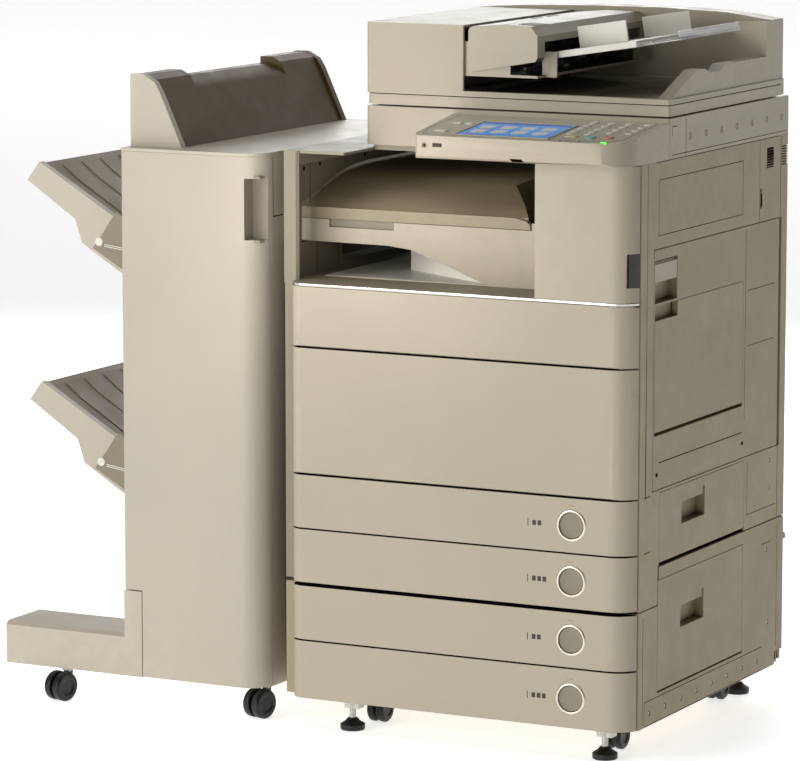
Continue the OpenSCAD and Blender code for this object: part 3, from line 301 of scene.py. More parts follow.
MAT = {
    "casing": plastic("casing_plastic", "B0A794"),
    "finisher": plastic("finisher_plastic", "B8B0A0"),
    # side: the casing plastic made darker as painted shade for the parts on the right side and the rear; the dash
    # over each button borrows it
    "side": plastic("side_shaded_plastic", "9C8F72"),
    "dark": plastic("dark_tray_plastic", "5E4D2E", 0.5, 0.3, specular=0.22),
    "tray_beige": plastic("tray_beige_plastic", "84775F", 0.5, 0.3, specular=0.25),
    "patch": plastic("tray_patch_plastic", "857C69", 0.45, 0.3),
    "bay_tray": plastic("bay_tray_plastic", "94886F", 0.45, 0.3),
    # painted shade for inner walls and undersides deep in the copier and the finisher
    "inner_shade": plastic("inner_shade_plastic", "857C69", 0.5, 0.3),
    # inner: the grey of the inner parts, also used as painted shade in the grip pockets of the fascia and the
    # finisher door
    "inner": plastic("inner_grey_and_pocket_shade_plastic", "8A8270", 0.5, 0.25),
    "black": plastic("black_plastic", "161513", 0.4, 0.3, spread=0.2),
    "gap": plastic("seam_shadow_plastic", "1E1A14", 0.8, 0.1, specular=0.1),
    "white": plastic("white_plastic", "DEDBD0", 0.38, 0.12),
    "key_white": plastic("key_white_plastic", "E3E0D6", 0.3, 0.08),
    "key_yellow": plastic("key_yellow_plastic", "D9CC9A", 0.3, 0.08),
    "key_green": plastic("key_green_plastic", "86C3B2", 0.28, 0.08),
    "key_red": plastic("key_red_plastic", "DB9280", 0.28, 0.08),
    "panel": plastic("panel_grey_plastic", "C0BBA8", 0.36, 0.15),
    "cassette": plastic("cassette_plastic", "3B3A38", 0.5, 0.35),
    "smoked": plastic("smoked_plastic", "2B2924", 0.2, 0.05, coat=0.6),
    "icon_white": plastic("icon_white_ink", "E9F1F7", 0.4, 0.02),
    "ink": plastic("dark_ink", "3A362E", 0.5, 0.05),
    "steel": metal("zinc_steel", "B9B9B4", 0.3, (1, 1, 12)),
    "chrome": metal("chrome_trim", "E9E6E0", 0.1, (14, 1, 1), 0.06),
    "ring": metal("satin_ring", "E2DCCB", 0.3, (1, 1, 1), 0.05),
    "rubber": rubber("black_rubber", "0F0F0F"),
    "belt": rubber("belt_film", "18181B", 0.3),
    "fuser": rubber("fixing_sleeve", "5A2E1C", 0.35),
    "glass": clear("float_glass", "DCEBE8", 0.35, 0.02, 1.0),
    "clear": clear("clear_tray_plastic", "DDE0E2", 0.45, 0.08, 0.7),
    "drum": plastic("coated_drum", "1C5A55", 0.12, 0.02, coat=0.8),
    "toner_y": plastic("toner_yellow", "D8B62A", 0.4, 0.2),
    "toner_m": plastic("toner_magenta", "A22C62", 0.4, 0.2),
    "toner_c": plastic("toner_cyan", "2B7FB0", 0.4, 0.2),
    "toner_k": plastic("toner_black", "262628", 0.4, 0.2),
    "screen": lit("screen_blue", "2E86C8", 0.55, "1C66B4"),
    "screen_dark": lit("screen_band", "0B3A86", 0.5),
    "led": lit("status_green", "48E62A", 1.6),
    "icon_yellow": plastic("icon_yellow_ink", "E8D36A", 0.4, 0.02),
}
TONERS = ["toner_y", "toner_m", "toner_c", "toner_k"]


# ---------------------------------------------------------------- making pieces

def shade(piece, bevel, segments=2, angle=32):
    piece.data.shade_smooth()
    piece.data.set_sharp_from_angle(angle=math.radians(angle))
    if bevel:
        edges = piece.modifiers.new("edges", "BEVEL")
        edges.width = bevel * MM
        edges.segments = segments
        edges.limit_method = "ANGLE"
        edges.angle_limit = math.radians(angle)
        edges.use_clamp_overlap = True
        flat = piece.modifiers.new("flat", "WEIGHTED_NORMAL")
        flat.weight = 100
        flat.keep_sharp = True


def make(name, bm, material, body, bevel=0.0, segments=2, angle=32):
    """Turns a bmesh into a piece that rides on a body."""
    bmesh.ops.recalc_face_normals(bm, faces=bm.faces)
    mesh = bpy.data.meshes.new(name)
    bm.to_mesh(mesh)
    bm.free()
    piece = bpy.data.objects.new(name, mesh)
    bpy.context.scene.collection.objects.link(piece)
    mesh.materials.append(MAT[material])
    shade(piece, bevel, segments, angle)
    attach(piece, body)
    return piece


def add_prism(bm, outline, to_place, low, high):
    """A prism: outline in two in-plane millimetres, from height low to high above the plane."""
    bottom = [bm.verts.new(to_place(u, v, low)) for u, v in outline]
    top = [bm.verts.new(to_place(u, v, high)) for u, v in outline]
    bm.faces.new(bottom)
    bm.faces.new(top)
    for i in range(len(outline)):
        j = (i + 1) % len(outline)
        bm.faces.new((bottom[i], bottom[j], top[j], top[i]))


def add_box(bm, lo, hi):
    add_prism(bm, [(lo[0], lo[1]), (hi[0], lo[1]), (hi[0], hi[1]), (lo[0], hi[1])], top_of(0), lo[2], hi[2])


def add_lathe(bm, profile, to_place, centre, steps=40):
    """Turns a profile of (radius, height) about the normal of a plane."""
    rings = []
    for radius, height in profile:
        if radius < 1e-6:
            rings.append([bm.verts.new(to_place(centre[0], centre[1], height))])
        else:
            rings.append([bm.verts.new(to_place(centre[0] + radius * math.cos(2 * math.pi * i / steps),
                                                centre[1] + radius * math.sin(2 * math.pi * i / steps), height))
                          for i in range(steps)])
    for a, b in zip(rings, rings[1:]):
        for i in range(steps):
            j = (i + 1) % steps
            if len(a) == 1 and len(b) == 1:
                continue
            if len(a) == 1:
                bm.faces.new((a[0], b[i], b[j]))
            elif len(b) == 1:
                bm.faces.new((a[i], a[j], b[0]))
            else:
                bm.faces.new((a[i], a[j], b[j], b[i]))


# Planes: each returns a function from two in-plane millimetres and a height to a place.

def front_of(y):
    return lambda u, v, h: at(u, y - h, v)


def right_of(x):
    return lambda u, v, h: at(x + h, u, v)


def rear_of(y):
    return lambda u, v, h: at(u, y + h, v)


def top_of(z):
    return lambda u, v, h: at(u, v, z + h)


def rounded(u0, v0, u1, v1, r, steps=5):
    """A rectangle with round corners."""
    points = []
    for cu, cv, start in ((u1 - r, v0 + r, -90), (u1 - r, v1 - r, 0), (u0 + r, v1 - r, 90), (u0 + r, v0 + r, 180)):
        for i in range(steps + 1):
            turn = math.radians(start + 90 * i / steps)
            points.append((cu + r * math.cos(turn), cv + r * math.sin(turn)))
    return points


def ellipse(cu, cv, ru, rv, steps=28):
    return [(cu + ru * math.cos(2 * math.pi * i / steps), cv + rv * math.sin(2 * math.pi * i / steps))
            for i in range(steps)]


def plates(name, outlines, plane, low, high, material, body, bevel=0.3, segments=2):
    """One piece made of thin prisms on a plane."""
    bm = bmesh.new()
    for outline in outlines:
        add_prism(bm, outline, plane, low, high)
    return make(name, bm, material, body, bevel, segments)


def cut(piece, boxes=(), prisms=(), inside="gap"):
    """Cuts boxes and prisms out of a piece's mesh; the cut faces get the material inside, by default painted seam
    shadow.
    """
    bm = bmesh.new()
    for lo, hi in boxes:
        add_box(bm, lo, hi)
    for outline, plane, low, high in prisms:
        add_prism(bm, outline, plane, low, high)
    bmesh.ops.recalc_face_normals(bm, faces=bm.faces)
    mesh = bpy.data.meshes.new("cutter")
    bm.to_mesh(mesh)
    bm.free()
    mesh.materials.append(MAT[inside])
    cutter = bpy.data.objects.new("cutter", mesh)
    bpy.context.scene.collection.objects.link(cutter)
    step = piece.modifiers.new("cut", "BOOLEAN")
    step.operation = "DIFFERENCE"
    step.solver = "EXACT"
    step.material_mode = "TRANSFER"
    step.use_self = True
    step.use_hole_tolerant = True
    step.object = cutter
    shown = piece.evaluated_get(bpy.context.evaluated_depsgraph_get())
    result = bpy.data.meshes.new_from_object(shown)
    piece.modifiers.clear()
    piece.data = result
    bpy.data.objects.remove(cutter)


def clean_copy(node):
    """A copy of a CAD node's mesh with its flat faces joined."""
    mesh = frame["nodes"][node].data.copy()
    bm = bmesh.new()
    bm.from_mesh(mesh)
    bmesh.ops.remove_doubles(bm, verts=bm.verts, dist=2e-6)
    bmesh.ops.dissolve_limit(bm, angle_limit=math.radians(0.6), verts=bm.verts, edges=bm.edges)
    bm.to_mesh(mesh)
    bm.free()
    mesh.materials.clear()
    return mesh


def refined(node, material, bevel=0.5, segments=2, boxes=(), prisms=(), rounds=(), angle=32):
    """A CAD node's own shape with cut seams, rounded and bevelled edges, in place of the node."""
    piece = bpy.data.objects.new(node + "_skin", clean_copy(node))
    bpy.context.scene.collection.objects.link(piece)
    piece.data.materials.append(MAT[material])
    for pick, radius, steps in rounds:
        round_edges(piece, pick, radius, steps)
    if boxes or prisms:
        cut(piece, boxes, prisms)
    shade(piece, bevel, segments, angle)
    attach(piece, BODY_OF[node])
    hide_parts(node)
    return piece


def round_edges(piece, pick, radius, steps):
    """Rounds the sharp edges that pick(a, b) chooses; a and b are the ends in millimetres."""
    bm = bmesh.new()
    bm.from_mesh(piece.data)
    chosen = []
    for edge in bm.edges:
        if len(edge.link_faces) == 2 and edge.calc_face_angle(0) > math.radians(25):
            a, b = ((v.co - CORNER) / MM for v in edge.verts)
            if pick(a, b):
                chosen.append(edge)
    bmesh.ops.bevel(bm, geom=chosen, offset=radius * MM, segments=steps, profile=0.5, affect="EDGES",
                    clamp_overlap=True)
    bm.to_mesh(piece.data)
    bm.free()


def paint(piece, material, pick):
    """Gives the faces that pick(centre, normal) chooses another material."""
    piece.data.materials.append(MAT[material])
    index = len(piece.data.materials) - 1
    for face in piece.data.polygons:
        if pick((face.center - CORNER) / MM, face.normal):
            face.material_index = index


# ---------------------------------------------------------------- copier: front

def front_outline(offset, y_end=28):
    """Plan outline of the front face with its round corners, moved outwards by offset."""
    points = []
    steps = 10
    for i in range(steps + 1):
        turn = math.radians(180 + 90 * i / steps)
        points.append((FRONT_X + CORNER_L + (CORNER_L + offset) * math.cos(turn),
                       CORNER_L + (CORNER_L + offset) * math.sin(turn)))
    last = math.degrees(math.asin((CORNER_R - y_end) / (CORNER_R + offset)))
    for i in range(steps + 1):
        turn = math.radians(-90 + (90 - last) * i / steps)
        points.append((WIDTH - CORNER_R + (CORNER_R + offset) * math.cos(turn),
                       CORNER_R + (CORNER_R + offset) * math.sin(turn)))
    return points


def make_front():
    for i in (1, 2, 3, 4):
        shade_gap_walls(refined("drawer_front_%d" % i, "casing", 0.7, 3))
        make_button(i)
        make_drawer_marks(i)
        refined("cassette_%d" % i, "cassette", 0.6)
        make_cassette_details(i)
    shade_gap_walls(refined("front_cover", "casing", 0.7, 3))
    shade_gap_walls(refined("toner_cover", "casing", 0.7, 3))
    refined("front_right_cover", "casing", 0.5, 2)
    refined("power_switch_cover", "smoked", 0.4)
    refined("power_switch", "black", 0.3)
    make_chrome_strip()


def shade_gap_walls(piece):
    """Paints shade on the upper and lower walls of a front cover, which face the gaps between covers."""
    paint(piece, "gap", lambda c, n: abs(n.z) > 0.9 and c.y > 1.2)


def button_centre(i):
    lo, hi = span_mm("release_button_%d" % i)
    return (lo.x + hi.x) / 2, (lo.z + hi.z) / 2


def make_button(i):
    """A dished disc in a polished ring."""
    centre = button_centre(i)
    body = BODY_OF["drawer_front_%d" % i]
    bm = bmesh.new()
    dish = [(0, 0.4), (12, 0.6), (17, 1.1), (19.2, 2.0), (19.8, 2.0), (20.4, 1.2), (20.4, -4), (18, -7.4),
            (6, -7.4), (6, -15), (0, -15)]
    add_lathe(bm, [(r, h - 3.1) for r, h in dish], front_of(-0.4), centre, 56)
    button = make("button_disc_%d" % i, bm, "inner", BODY_OF["release_button_%d" % i], 0, 2, 40)
    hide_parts("release_button_%d" % i)
    bm = bmesh.new()
    ring = [(21.0, -5), (21.0, 0.9), (21.5, 1.7), (22.6, 1.9), (24.4, 1.2), (25.4, 0.1), (25.4, -0.6),
            (24.2, -1.0), (24.2, -5)]
    add_lathe(bm, ring + ring[:1], front_of(0), centre, 64)
    make("button_ring_%d" % i, bm, "ring", body, 0, 2, 50)


def make_drawer_marks(i):
    """A bar and blank blocks where the size label sits, and a small dash over the button."""
    cx, cz = button_centre(i)
    body = BODY_OF["drawer_front_%d" % i]
    bar = rounded(cx - 75, cz - 6, cx - 73.6, cz + 6, 0.6)
    plates("size_bracket_%d" % i, [bar], front_of(0), -0.2, 0.15, "ink", body, 0.05, 1)
    height = 8.0
    bm = bmesh.new()
    for k in range(2 + i % 2):
        u = cx - 67 + 9 * k
        add_prism(bm, rounded(u, cz - height / 2, u + 6.5, cz + height / 2, 1.2), front_of(0), -0.2, 0.15)
    make("size_blocks_%d" % i, bm, "ink", body, 0.05, 1)
    plates("button_dash_%d" % i, [rounded(cx - 6, cz + 30.5, cx + 5, cz + 32, 0.6)], front_of(0), -0.2, 0.12,
           "side", body, 0.04, 1)


def make_cassette_details(i):
    """A ribbed steel lifting plate and two side rails for each cassette."""
    lo, hi = span_mm("cassette_%d" % i)
    body = BODY_OF["cassette_%d" % i]
    bm = bmesh.new()
    add_box(bm, (lo.x + 70, lo.y + 12, lo.z + 4), (hi.x - 115, lo.y + 340, lo.z + 6))
    for k in range(3):
        y = lo.y + 60 + 90 * k
        add_prism(bm, rounded(lo.x + 130, y, hi.x - 170, y + 30, 8), top_of(lo.z + 6), 0, 0.8)
    make("lifting_plate_%d" % i, bm, "steel", body, 0.5)
    bm = bmesh.new()
    for x in (lo.x - 3, hi.x):
        add_box(bm, (x, lo.y + 40, hi.z - 22), (x + 3, hi.y - 20, hi.z - 16))
    make("cassette_rails_%d" % i, bm, "steel", body, 0.4)


def make_chrome_strip():
    outer = front_outline(0.9, 27)
    inner = front_outline(-1.2, 27)
    bm = bmesh.new()
    add_prism(bm, outer + inner[::-1], top_of(0), 715.4, 719.8)
    make("chrome_strip", bm, "chrome", "copier", 1.0, 3, 28)


# ---------------------------------------------------------------- copier: output space

LEFT_WALL = 6


def make_output_space():
    """The bridge between the fascia and the output tray, and the screws and seams of the left wall."""
    bridge = refined("output_fascia", "casing", 1.2, 3)
    paint(bridge, "white", lambda c, n: n.z > 0.9 and 720 < c.z < 757 and c.y > 98)
    paint(bridge, "white", lambda c, n: 720 < c.z < 757 and c.y > 98 and c.x < 440)
    # The grip scoop in the fascia gets painted shade in the inner grey.
    paint(bridge, "inner", lambda c, n: 44 <= c.x < 160.5 and 798 < c.z < 812.5 and 97.5 < c.y < 108)
    tray = refined("output_tray", "bay_tray", 1.4, 3)
    # The tray's underside gets painted shade.
    paint(tray, "gap", lambda c, n: n.z < -0.5)
    bm = bmesh.new()
    for y, z in ((83, 892), (137, 895), (293, 897)):
        add_lathe(bm, [(0, 0.1), (3.6, 0.1), (3.9, -0.3), (0, -0.3)], right_of(LEFT_WALL), (y, z), 20)
    for y, z0, z1 in ((103, 835, 924), (126, 722, 790), (198, 722, 790)):
        add_prism(bm, rounded(y, z0, y + 1.2, z1, 0.5), right_of(LEFT_WALL), -0.2, 0.15)
    make("wall_marks", bm, "gap", "copier", 0)


# ---------------------------------------------------------------- copier: frame, side and back

def groove_y(y0, y1, z, x=WIDTH, w=1.2, d=1.6):
    """A seam along Y on the right side."""
    return ((x - d, y0, z - w / 2), (x + 2, y1, z + w / 2))


def groove_z(y, z0, z1, x=WIDTH, w=1.2, d=1.6):
    return ((x - d, y - w / 2, z0), (x + 2, y + w / 2, z1))


LOW_SCREWS = [(70 + 62 * k, 70) for k in range(8)] + [(548, 128), (540, 250), (60, 250)]
HIGH_SCREWS = [(548, 398), (548, 352)]
SCREW_DEPTH = 1.1
READER_MARKS = [(210 + 62 * k, 960) for k in range(7)]


def screw_pockets(places):
    """Round pockets that keep screw heads level with the right side."""
    return [(ellipse(y, z, 4.0, 4.0, 16), right_of(WIDTH), -SCREW_DEPTH, 1) for y, z in places]


def make_frame():
    refined("pedestal_frame", "side", 0.4, boxes=[
        groove_y(52, 528, 90), groove_y(52, 528, 51.6, w=1.0), groove_z(52, 54, 89), groove_z(45, 54, 226),
        groove_z(585, 80, 290), groove_y(520, 560, 262, w=1.0)], prisms=screw_pockets(LOW_SCREWS))
    structure = refined("main_frame", "inner", 0.4)
    # Undersides high in the frame and front-facing walls deep inside get painted shade.
    paint(structure, "inner_shade", lambda c, n: n.z < -0.9 and c.z > 880 or n.y < -0.9 and c.y > 400)
    refined("transfer_unit", "belt", 0.4)
    refined("drum_units", "drum", 0.4)
    bottles = refined("toner_bottles", "toner_k", 1.5, 3)
    lo, hi = span_mm("toner_bottles")
    pitch = (hi.x - lo.x - 80) / 3
    for k, name in enumerate(TONERS[:3]):
        paint(bottles, name, lambda c, n, k=k: abs(c.x - lo.x - 40 - pitch * k) < pitch / 2)
    refined("fuser_roller", "fuser", 0.5)
    refined("scan_carriage", "black", 0.8)
    feet = refined("levelling_feet", "black", 0.4)
    paint(feet, "steel", lambda c, n: 19.2 < c.z < 34)
    paint(feet, "white", lambda c, n: c.z > 34)
    for node in ("front_caster_wheels", "rear_caster_wheels"):
        refined(node, "black", 0.5)


def screw(bm, plane, u, v, r=3.2):
    add_lathe(bm, [(0, 0.1), (r * 0.45, 0.1), (r * 0.5, 0.9), (r * 0.9, 0.8), (r, 0.2), (r, -0.3), (0, -0.3)],
              plane, (u, v), 18)


def make_right_side():
    louvres = [groove_y(y, y + 30, 882 + 4.2 * k, w=2.0, d=2.4) for k in range(8) for y in (522, 585)]
    # The hand slot is a shallow recess whose faces get painted seam shadow.
    slot = (rounded(496, 819, 505, 843, 4), right_of(WIDTH), -2.2, 1)
    refined("right_side_cover", "side", 0.5, boxes=louvres + [
        groove_y(95, 425, 902), groove_y(95, 425, 816), groove_y(78, 573, 931 - 1.5, w=1.0),
        groove_z(26, 238, 929), groove_z(51, 412, 929), groove_z(494, 797, 929),
        groove_z(93, 815, 902), groove_z(425, 816, 903), groove_z(582, 300, 929, w=1.6),
        groove_y(46, 69, 413, w=1.4), groove_y(46, 69, 326, w=1.4), groove_y(455, 575, 322, w=1.0),
        groove_z(455, 323, 410)], prisms=[slot] + screw_pockets(HIGH_SCREWS))
    refined("right_door", "side", 0.6, boxes=[
        groove_y(100, 430, 461), groove_z(440, 480, 790), groove_y(450, 560, 600, w=1.0),
        groove_y(450, 560, 690, w=1.0),
        ((WIDTH - 2.5, 88, 440), (WIDTH + 2, 96, 446)), ((WIDTH - 2.5, 428, 440), (WIDTH + 2, 436, 446))])
    refined("bypass_tray", "side", 1.0, 3)
    refined("door_latch", "casing", 1.0, 3)
    refined("lower_right_door", "side", 0.7, 2, boxes=[groove_y(190, 282, 372, w=0.9, d=1.2)])
    refined("pedestal_door", "side", 0.7, 2)
    bm = bmesh.new()
    for y, z in LOW_SCREWS + HIGH_SCREWS:
        screw(bm, right_of(WIDTH - SCREW_DEPTH), y, z, 3.0)
    make("side_screws", bm, "steel", "copier", 0)
    bm = bmesh.new()
    for place in READER_MARKS:
        add_lathe(bm, [(0, -0.02), (4.2, -0.02), (4.8, -0.4), (0, -0.4)], right_of(WIDTH), place, 24)
    make("reader_marks", bm, "side", "copier", 0)


REAR = 616


def make_rear():
    refined("rear_cover", "side", 0.6)
    lo, hi = span_mm("rear_cover")
    bm = bmesh.new()
    for x in (lo.x + 20, (lo.x + hi.x) / 2, hi.x - 20):
        for z in (lo.z + 20, 340, 620, hi.z - 20):
            screw(bm, rear_of(REAR), x, z, 3.6)
    make("rear_screws", bm, "steel", "copier", 0)
    bm = bmesh.new()
    add_prism(bm, rounded(64, 112, 106, 143, 3), rear_of(611), 0, 2.4)
    make("inlet_plate", bm, "black", "copier", 0.5)
    bm = bmesh.new()
    for x in (77, 85, 93):
        add_prism(bm, rounded(x - 1, 123, x + 1, 131, 0.6), rear_of(613.4), 0, 3.0)
    make("inlet_blades", bm, "steel", "copier", 0.1, 1)
    plates("connector_plate", [rounded(430, 560, 570, 690, 4)], rear_of(REAR), -0.2, 1.2, "black", "copier",
           0.5)
    ports = [rounded(450, 660, 466, 674, 1), rounded(480, 660, 496, 674, 1), rounded(450, 636, 464, 642, 1),
             rounded(474, 636, 488, 642, 1), rounded(450, 600, 520, 616, 3)]
    plates("connector_ports", ports, rear_of(REAR + 1), -0.2, 1.0, "steel", "copier", 0.3)
    seams = [rounded(20, z, 598, z + 1.6, 0.4) for z in (700, 300)]
    plates("rear_seams", seams, rear_of(REAR), -0.2, 0.15, "gap", "copier", 0.05, 1)


# ---------------------------------------------------------------- reader and panel

PANEL_FRONT = -46
PANEL_FRONT_Z = 968
PANEL_REAR_Z = 986
PANEL_BACK = 130
JACK = (286, 953)
PANEL_TILT = math.atan2(PANEL_REAR_Z - PANEL_FRONT_Z, PANEL_BACK - PANEL_FRONT)


def on_panel(u, v, h):
    """A place from the distance along the panel, up its slope and out of its face."""
    return at(u, PANEL_FRONT + v * math.cos(PANEL_TILT) - h * math.sin(PANEL_TILT),
              PANEL_FRONT_Z + v * math.sin(PANEL_TILT) + h * math.cos(PANEL_TILT))


def make_reader():
    refined("reader_housing", "casing", 1.0, 3, boxes=[
        groove_z(194, 932, 990, w=1.2, d=1.2), groove_y(140, 600, 936, w=1.0, d=1.0),
        groove_y(142, 160, 980, w=1.2, d=1.2), groove_z(142, 965, 980, w=1.2, d=1.2)],
        prisms=[(ellipse(y, z, 5.4, 5.4, 20), right_of(WIDTH), -0.4, 1) for y, z in READER_MARKS])
    refined("platen_glass", "glass", 0.3)
    scale = [rounded(120, 150, 596, 158, 1)]
    plates("scale_strip", scale, top_of(992.6), -0.2, 0.5, "white", "copier", 0.1, 1)


def make_panel():
    outline = [[(276, 13.4), (590, 13.4), (590, 14.6), (276, 14.6)],
               [(590, 13.4), (606, 39), (605, 39.8), (589, 14.4)],
               [(604.6, 39), (605.8, 39), (605.8, 168), (604.6, 168)],
               [(264, 60), (276, 13.4), (277, 14), (265.2, 60.4)],
               [(264, 60), (265.2, 60), (265.2, 168), (264, 168)]]
    jack = (ellipse(JACK[0], JACK[1], 4.3, 4.3, 24), front_of(PANEL_FRONT), -0.8, 1)
    housing = refined("panel_housing", "casing", 0.7, 3,
                      prisms=[jack] + [(line, on_panel, -0.5, 1) for line in outline],
                      boxes=[((430, PANEL_FRONT - 1, 931), (450, PANEL_FRONT + 22, 938)),
                             ((WIDTH - 1.2, -40, 955.5), (WIDTH + 1, -3, 959.5))])
    paint(housing, "panel", lambda c, n: n.z > 0.9 and c.x > 262 and c.z > PANEL_FRONT_Z - 2)
    refined("panel_screen", "screen", 0.2)
    bezel = [rounded(328, 14.5, 490, 17.5, 1), rounded(328, 124.5, 490, 127.5, 1),
             rounded(327.5, 16, 331, 126, 1), rounded(486.5, 16, 490, 126, 1)]
    plates("screen_bezel", bezel, on_panel, -0.2, 1.5, "panel", "copier", 0.4)
    make_screen_picture()
    make_keys()


def make_screen_picture():
    """A generic home page: a dark header, rows of blank cards and small coloured tabs."""
    base = 0.62
    header = [rounded(334, 112, 482, 122, 1)]
    plates("screen_header", header, on_panel, base, base + 0.12, "screen_dark", "copier", 0)
    cards, tabs = [], []
    for row in range(2):
        for col in range(4):
            u, v = 342 + 35 * col, 74 - 32 * row
            cards.append(rounded(u, v, u + 24, v + 22, 3))
            tabs.append(rounded(u + 4 + 3 * (col % 2), v - 5, u + 14, v - 2, 1))
    plates("screen_cards", cards, on_panel, base, base + 0.15, "icon_white", "copier", 0)
    plates("screen_tabs", tabs, on_panel, base, base + 0.15, "icon_yellow", "copier", 0)


def make_keys():
    for node, material in (("start_key", "key_green"), ("stop_key", "key_red")):
        lo, hi = span_mm(node)
        centre_u = (lo.x + hi.x) / 2
        centre_v = ((lo.y + hi.y) / 2 - PANEL_FRONT) / math.cos(PANEL_TILT)
        bm = bmesh.new()
        add_prism(bm, ellipse(centre_u, centre_v - 0.4, 8.9, 8.9, 40), on_panel, -7, 1.9)
        key = make(node + "_cap", bm, material, BODY_OF[node], 0.8, 3)
        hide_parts(node)
    refined("number_keys", "key_white", 0.5, 3)
    outlines = [rounded(284, 34, 306, 46, 4), rounded(284, 100, 300, 108, 3), rounded(306, 100, 320, 108, 3)]
    plates("side_keys", outlines, on_panel, -0.2, 1.6, "key_white", "copier", 0.5)
    plates("energy_key", [rounded(504, 38, 526, 50, 4)], on_panel, -0.2, 1.6, "key_yellow", "copier",
           0.5)
    small = [ellipse(594, 154 - 24 * k, 6.5, 4.2) for k in range(4)]
    small += [ellipse(503 + 30 * k, 62, 5, 3) for k in range(2)]
    plates("function_keys", small, on_panel, -0.2, 1.4, "key_white", "copier", 0.4)
    plates("status_lamp", [rounded(580, 6, 590, 10, 1.5)], on_panel, -1.4, 1.0, "led", "copier", 0.3)
    marks = [rounded(u, 5, u + 2, 11, 0.8) for u in (512, 544)]
    plates("lamp_marks", marks, on_panel, -1, 0.5, "ink", "copier", 0.1, 1)
    bm = bmesh.new()
    add_lathe(bm, [(2.2, -0.9), (2.2, -0.3), (3.0, -0.05), (3.8, -0.3), (3.8, -0.9), (2.2, -0.9)],
              front_of(PANEL_FRONT), JACK, 28)
    make("socket_ring", bm, "inner", "copier", 0)
    tongue = [rounded(302, 952.6, 314, 955.2, 0.5)]
    plates("socket_tongue", tongue, front_of(PANEL_FRONT), -6, -1.2, "black", "copier", 0.2, 1)


# ---------------------------------------------------------------- feeder

def make_feeder():
    lo, hi = span_mm("feeder_body")
    body = refined("feeder_body", "casing", 1.4, 3, boxes=[
        ((90, 128, 1012.4), (WIDTH - 3, 131.2, 1013.8)), ((WIDTH - 3.4, 128, 1012.4), (WIDTH, 575, 1013.8)),
        ((hi.x - 1, 275, 1032), (hi.x + 1, 428, 1033.2)), ((hi.x - 1, 275, 1032), (hi.x + 1, 276.2, 1036)),
        ((hi.x - 1, 427, 1032), (hi.x + 1, 428.2, 1036))])

    # Faces in the feeder's throat are painted black: partly its dark plastic, partly painted shade.
    def in_throat(c, n):
        return 290 < c.x < 376 and lo.y + 5 < c.y < hi.y - 5 and 1035 < c.z < 1100 and n.y > -0.5

    paint(body, "black", in_throat)
    cover = refined("feeder_cover", "casing", 1.6, 4)
    paint(cover, "black", lambda c, n: n.z < -0.3)
    refined("feed_roller", "rubber", 0.6)
    make_cover_details()
    bm = bmesh.new()
    add_box(bm, (112, 146, 994.2), (600, 570, 996.2))
    make("platen_pad", bm, "white", "feeder", 0.8)
    make_document_tray()


def make_cover_details():
    """Grip ribs and two slots on the feeder's hinged cover, and its inner rollers."""
    bm = bmesh.new()
    for k in range(9):
        u = 352 + 3.6 * k
        slope = (1127 - 1129) / (382 - 340)
        z = 1129 + slope * (u - 340)
        add_prism(bm, rounded(u, 150, u + 1.7, 196, 0.8), top_of(z), -0.6, 0.7)
    make("cover_ribs", bm, "casing", "feeder_cover", 0.3)
    slots = [rounded(300, y, 306, y + 40, 2) for y in (300, 360)]
    plates("cover_slots", slots, top_of(1126.2), -0.4, 0.35, "gap", "feeder_cover", 0)
    bm = bmesh.new()
    for y in (200, 262, 330, 398, 460):
        add_lathe(bm, [(0, -9), (7.5, -9), (8, -8), (8, 8), (7.5, 9), (0, 9)],
                  lambda u, v, h, y=y: at(u, y + h, v), (366, 1060), 26)
    shaft = [(0, -190), (2.5, -190), (2.5, 180), (0, 180)]
    add_lathe(bm, shaft, lambda u, v, h: at(u, 335 + h, v), (366, 1060), 16)
    make("separation_rollers", bm, "rubber", "feeder", 0)


TRAY_PIVOT = (406, 1080)
TRAY_SLOPE = math.radians(9)


def on_tray(u, v, h):
    """A place from the distance along the document tray, Y, and out of its face."""
    return at(TRAY_PIVOT[0] + u * math.cos(TRAY_SLOPE) - h * math.sin(TRAY_SLOPE), v,
              TRAY_PIVOT[1] + u * math.sin(TRAY_SLOPE) + h * math.cos(TRAY_SLOPE))


def make_document_tray():
    refined("document_tray", "white", 1.0, 3)
    refined("document_extension", "clear", 0.8, 3)
    refined("document_guide_front", "white", 1.2, 3)
    refined("document_guide_rear", "white", 1.2, 3)
    bm = bmesh.new()
    for k in range(3):
        add_prism(bm, rounded(100 + 6 * k, 220, 101.6 + 6 * k, 228, 0.6), on_tray, 5.9, 6.2)
    make("tray_marks", bm, "ink", "document_tray", 0)


# ---------------------------------------------------------------- finisher

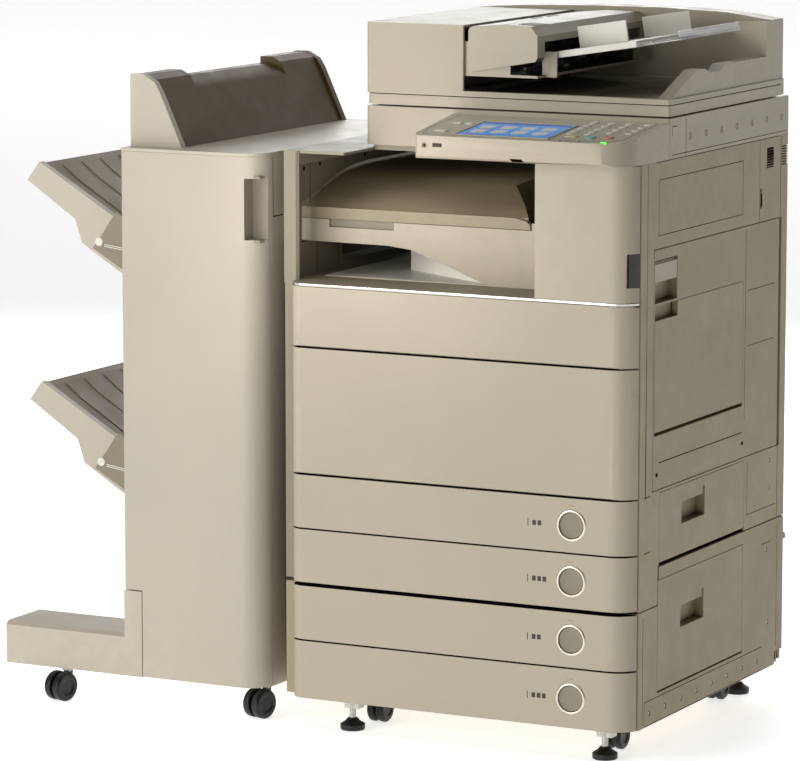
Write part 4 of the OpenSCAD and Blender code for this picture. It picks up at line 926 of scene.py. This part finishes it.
def make_finisher():
    structure = refined("finisher_frame", "finisher", 1.0, 3, boxes=[
        ((-31.8, 46, 816), (-28, 82, 818)), ((-31.8, 45, 817), (-28, 46.8, 912)),
        ((-31.8, 82, 60), (-28, 83.8, 912))])
    paint(structure, "dark", lambda c, n: c.z > 910 and c.y > 585 and c.x < -185)
    # Inner faces facing the front, and those facing right near the finisher's left end, get painted shade.
    paint(structure, "inner_shade",
          lambda c, n: c.z < 910 and (n.y < -0.9 and c.y > 60 or n.x > 0.9 and c.x < -280))
    door = refined("finisher_door", "finisher", 1.2, 3)
    # The grip pocket in the finisher door gets painted shade, except on faces turned towards the left.
    paint(door, "inner", lambda c, n: -62 < c.x < -30 and 777 < c.z < 885 and c.y > 3 and n.x > -0.5)
    refined("turret_cover", "dark", 1.4, 3)
    for level in ("upper", "lower"):
        make_stack_tray(level)
    for side in ("left", "right"):
        fork = refined("finisher_fork_" + side, "black", 0.5)
        paint(fork, "steel", lambda c, n: c.z > 47.5)
        refined("finisher_wheel_" + side, "black", 0.8, 3)
    refined("finisher_rear_wheels", "black", 0.8, 3)


def make_stack_tray(level):
    node = level + "_stack_tray"
    lo, hi = span_mm(node)
    tray = refined(node, "tray_beige", 1.2, 3)
    cheek = 14.6

    def is_cheek(c, n):
        return (c.y < lo.y + cheek or c.y > 540 - cheek) and c.x < -286

    paint(tray, "finisher", is_cheek)
    z0 = hi.z - 31
    body = BODY_OF[node]
    shade_patch = [(-352, z0 - 77), (-330, z0 - 44), (-290, z0 - 68), (-290, z0 - 150), (-322, z0 - 136),
                   (-374, z0 - 106)]
    plates(level + "_cheek_patch", [shade_patch], front_of(lo.y), -0.2, 0.25, "patch", body, 0.1,
           1)
    bm = bmesh.new()
    add_lathe(bm, [(0, 0.9), (6.2, 0.9), (7, 0.4), (7, -0.2), (0, -0.2)], front_of(lo.y), (-362, z0 - 95), 32)
    make(level + "_cheek_disc", bm, "white", body, 0)
    bm = bmesh.new()
    for k in range(2):
        add_prism(bm, [(-352, z0 - 98 - 3 * k), (-291, z0 - 106 - 3 * k), (-291, z0 - 107.2 - 3 * k),
                       (-352, z0 - 99.2 - 3 * k)], front_of(lo.y), 0.1, 0.5)
    make(level + "_cheek_lines", bm, "white", body, 0)
    bm = bmesh.new()
    for k in range(7):
        y = lo.y + 60 + 60 * k
        add_prism(bm, [(-466, z0 + 20), (-436, z0 - 3.4), (-324, z0 - 72.4), (-324, z0 - 71.0), (-436, z0 - 1.8),
                       (-466, z0 + 21.6)], lambda u, v, h, y=y: at(u, y + h, v), 0, 3)
    make(level + "_tray_ribs", bm, "tray_beige", body, 0.3)


# ---------------------------------------------------------------- assembly

make_camera()
make_light()
make_stage()
make_front()
make_output_space()
make_frame()
make_right_side()
make_rear()
make_reader()
make_panel()
make_feeder()
make_finisher()
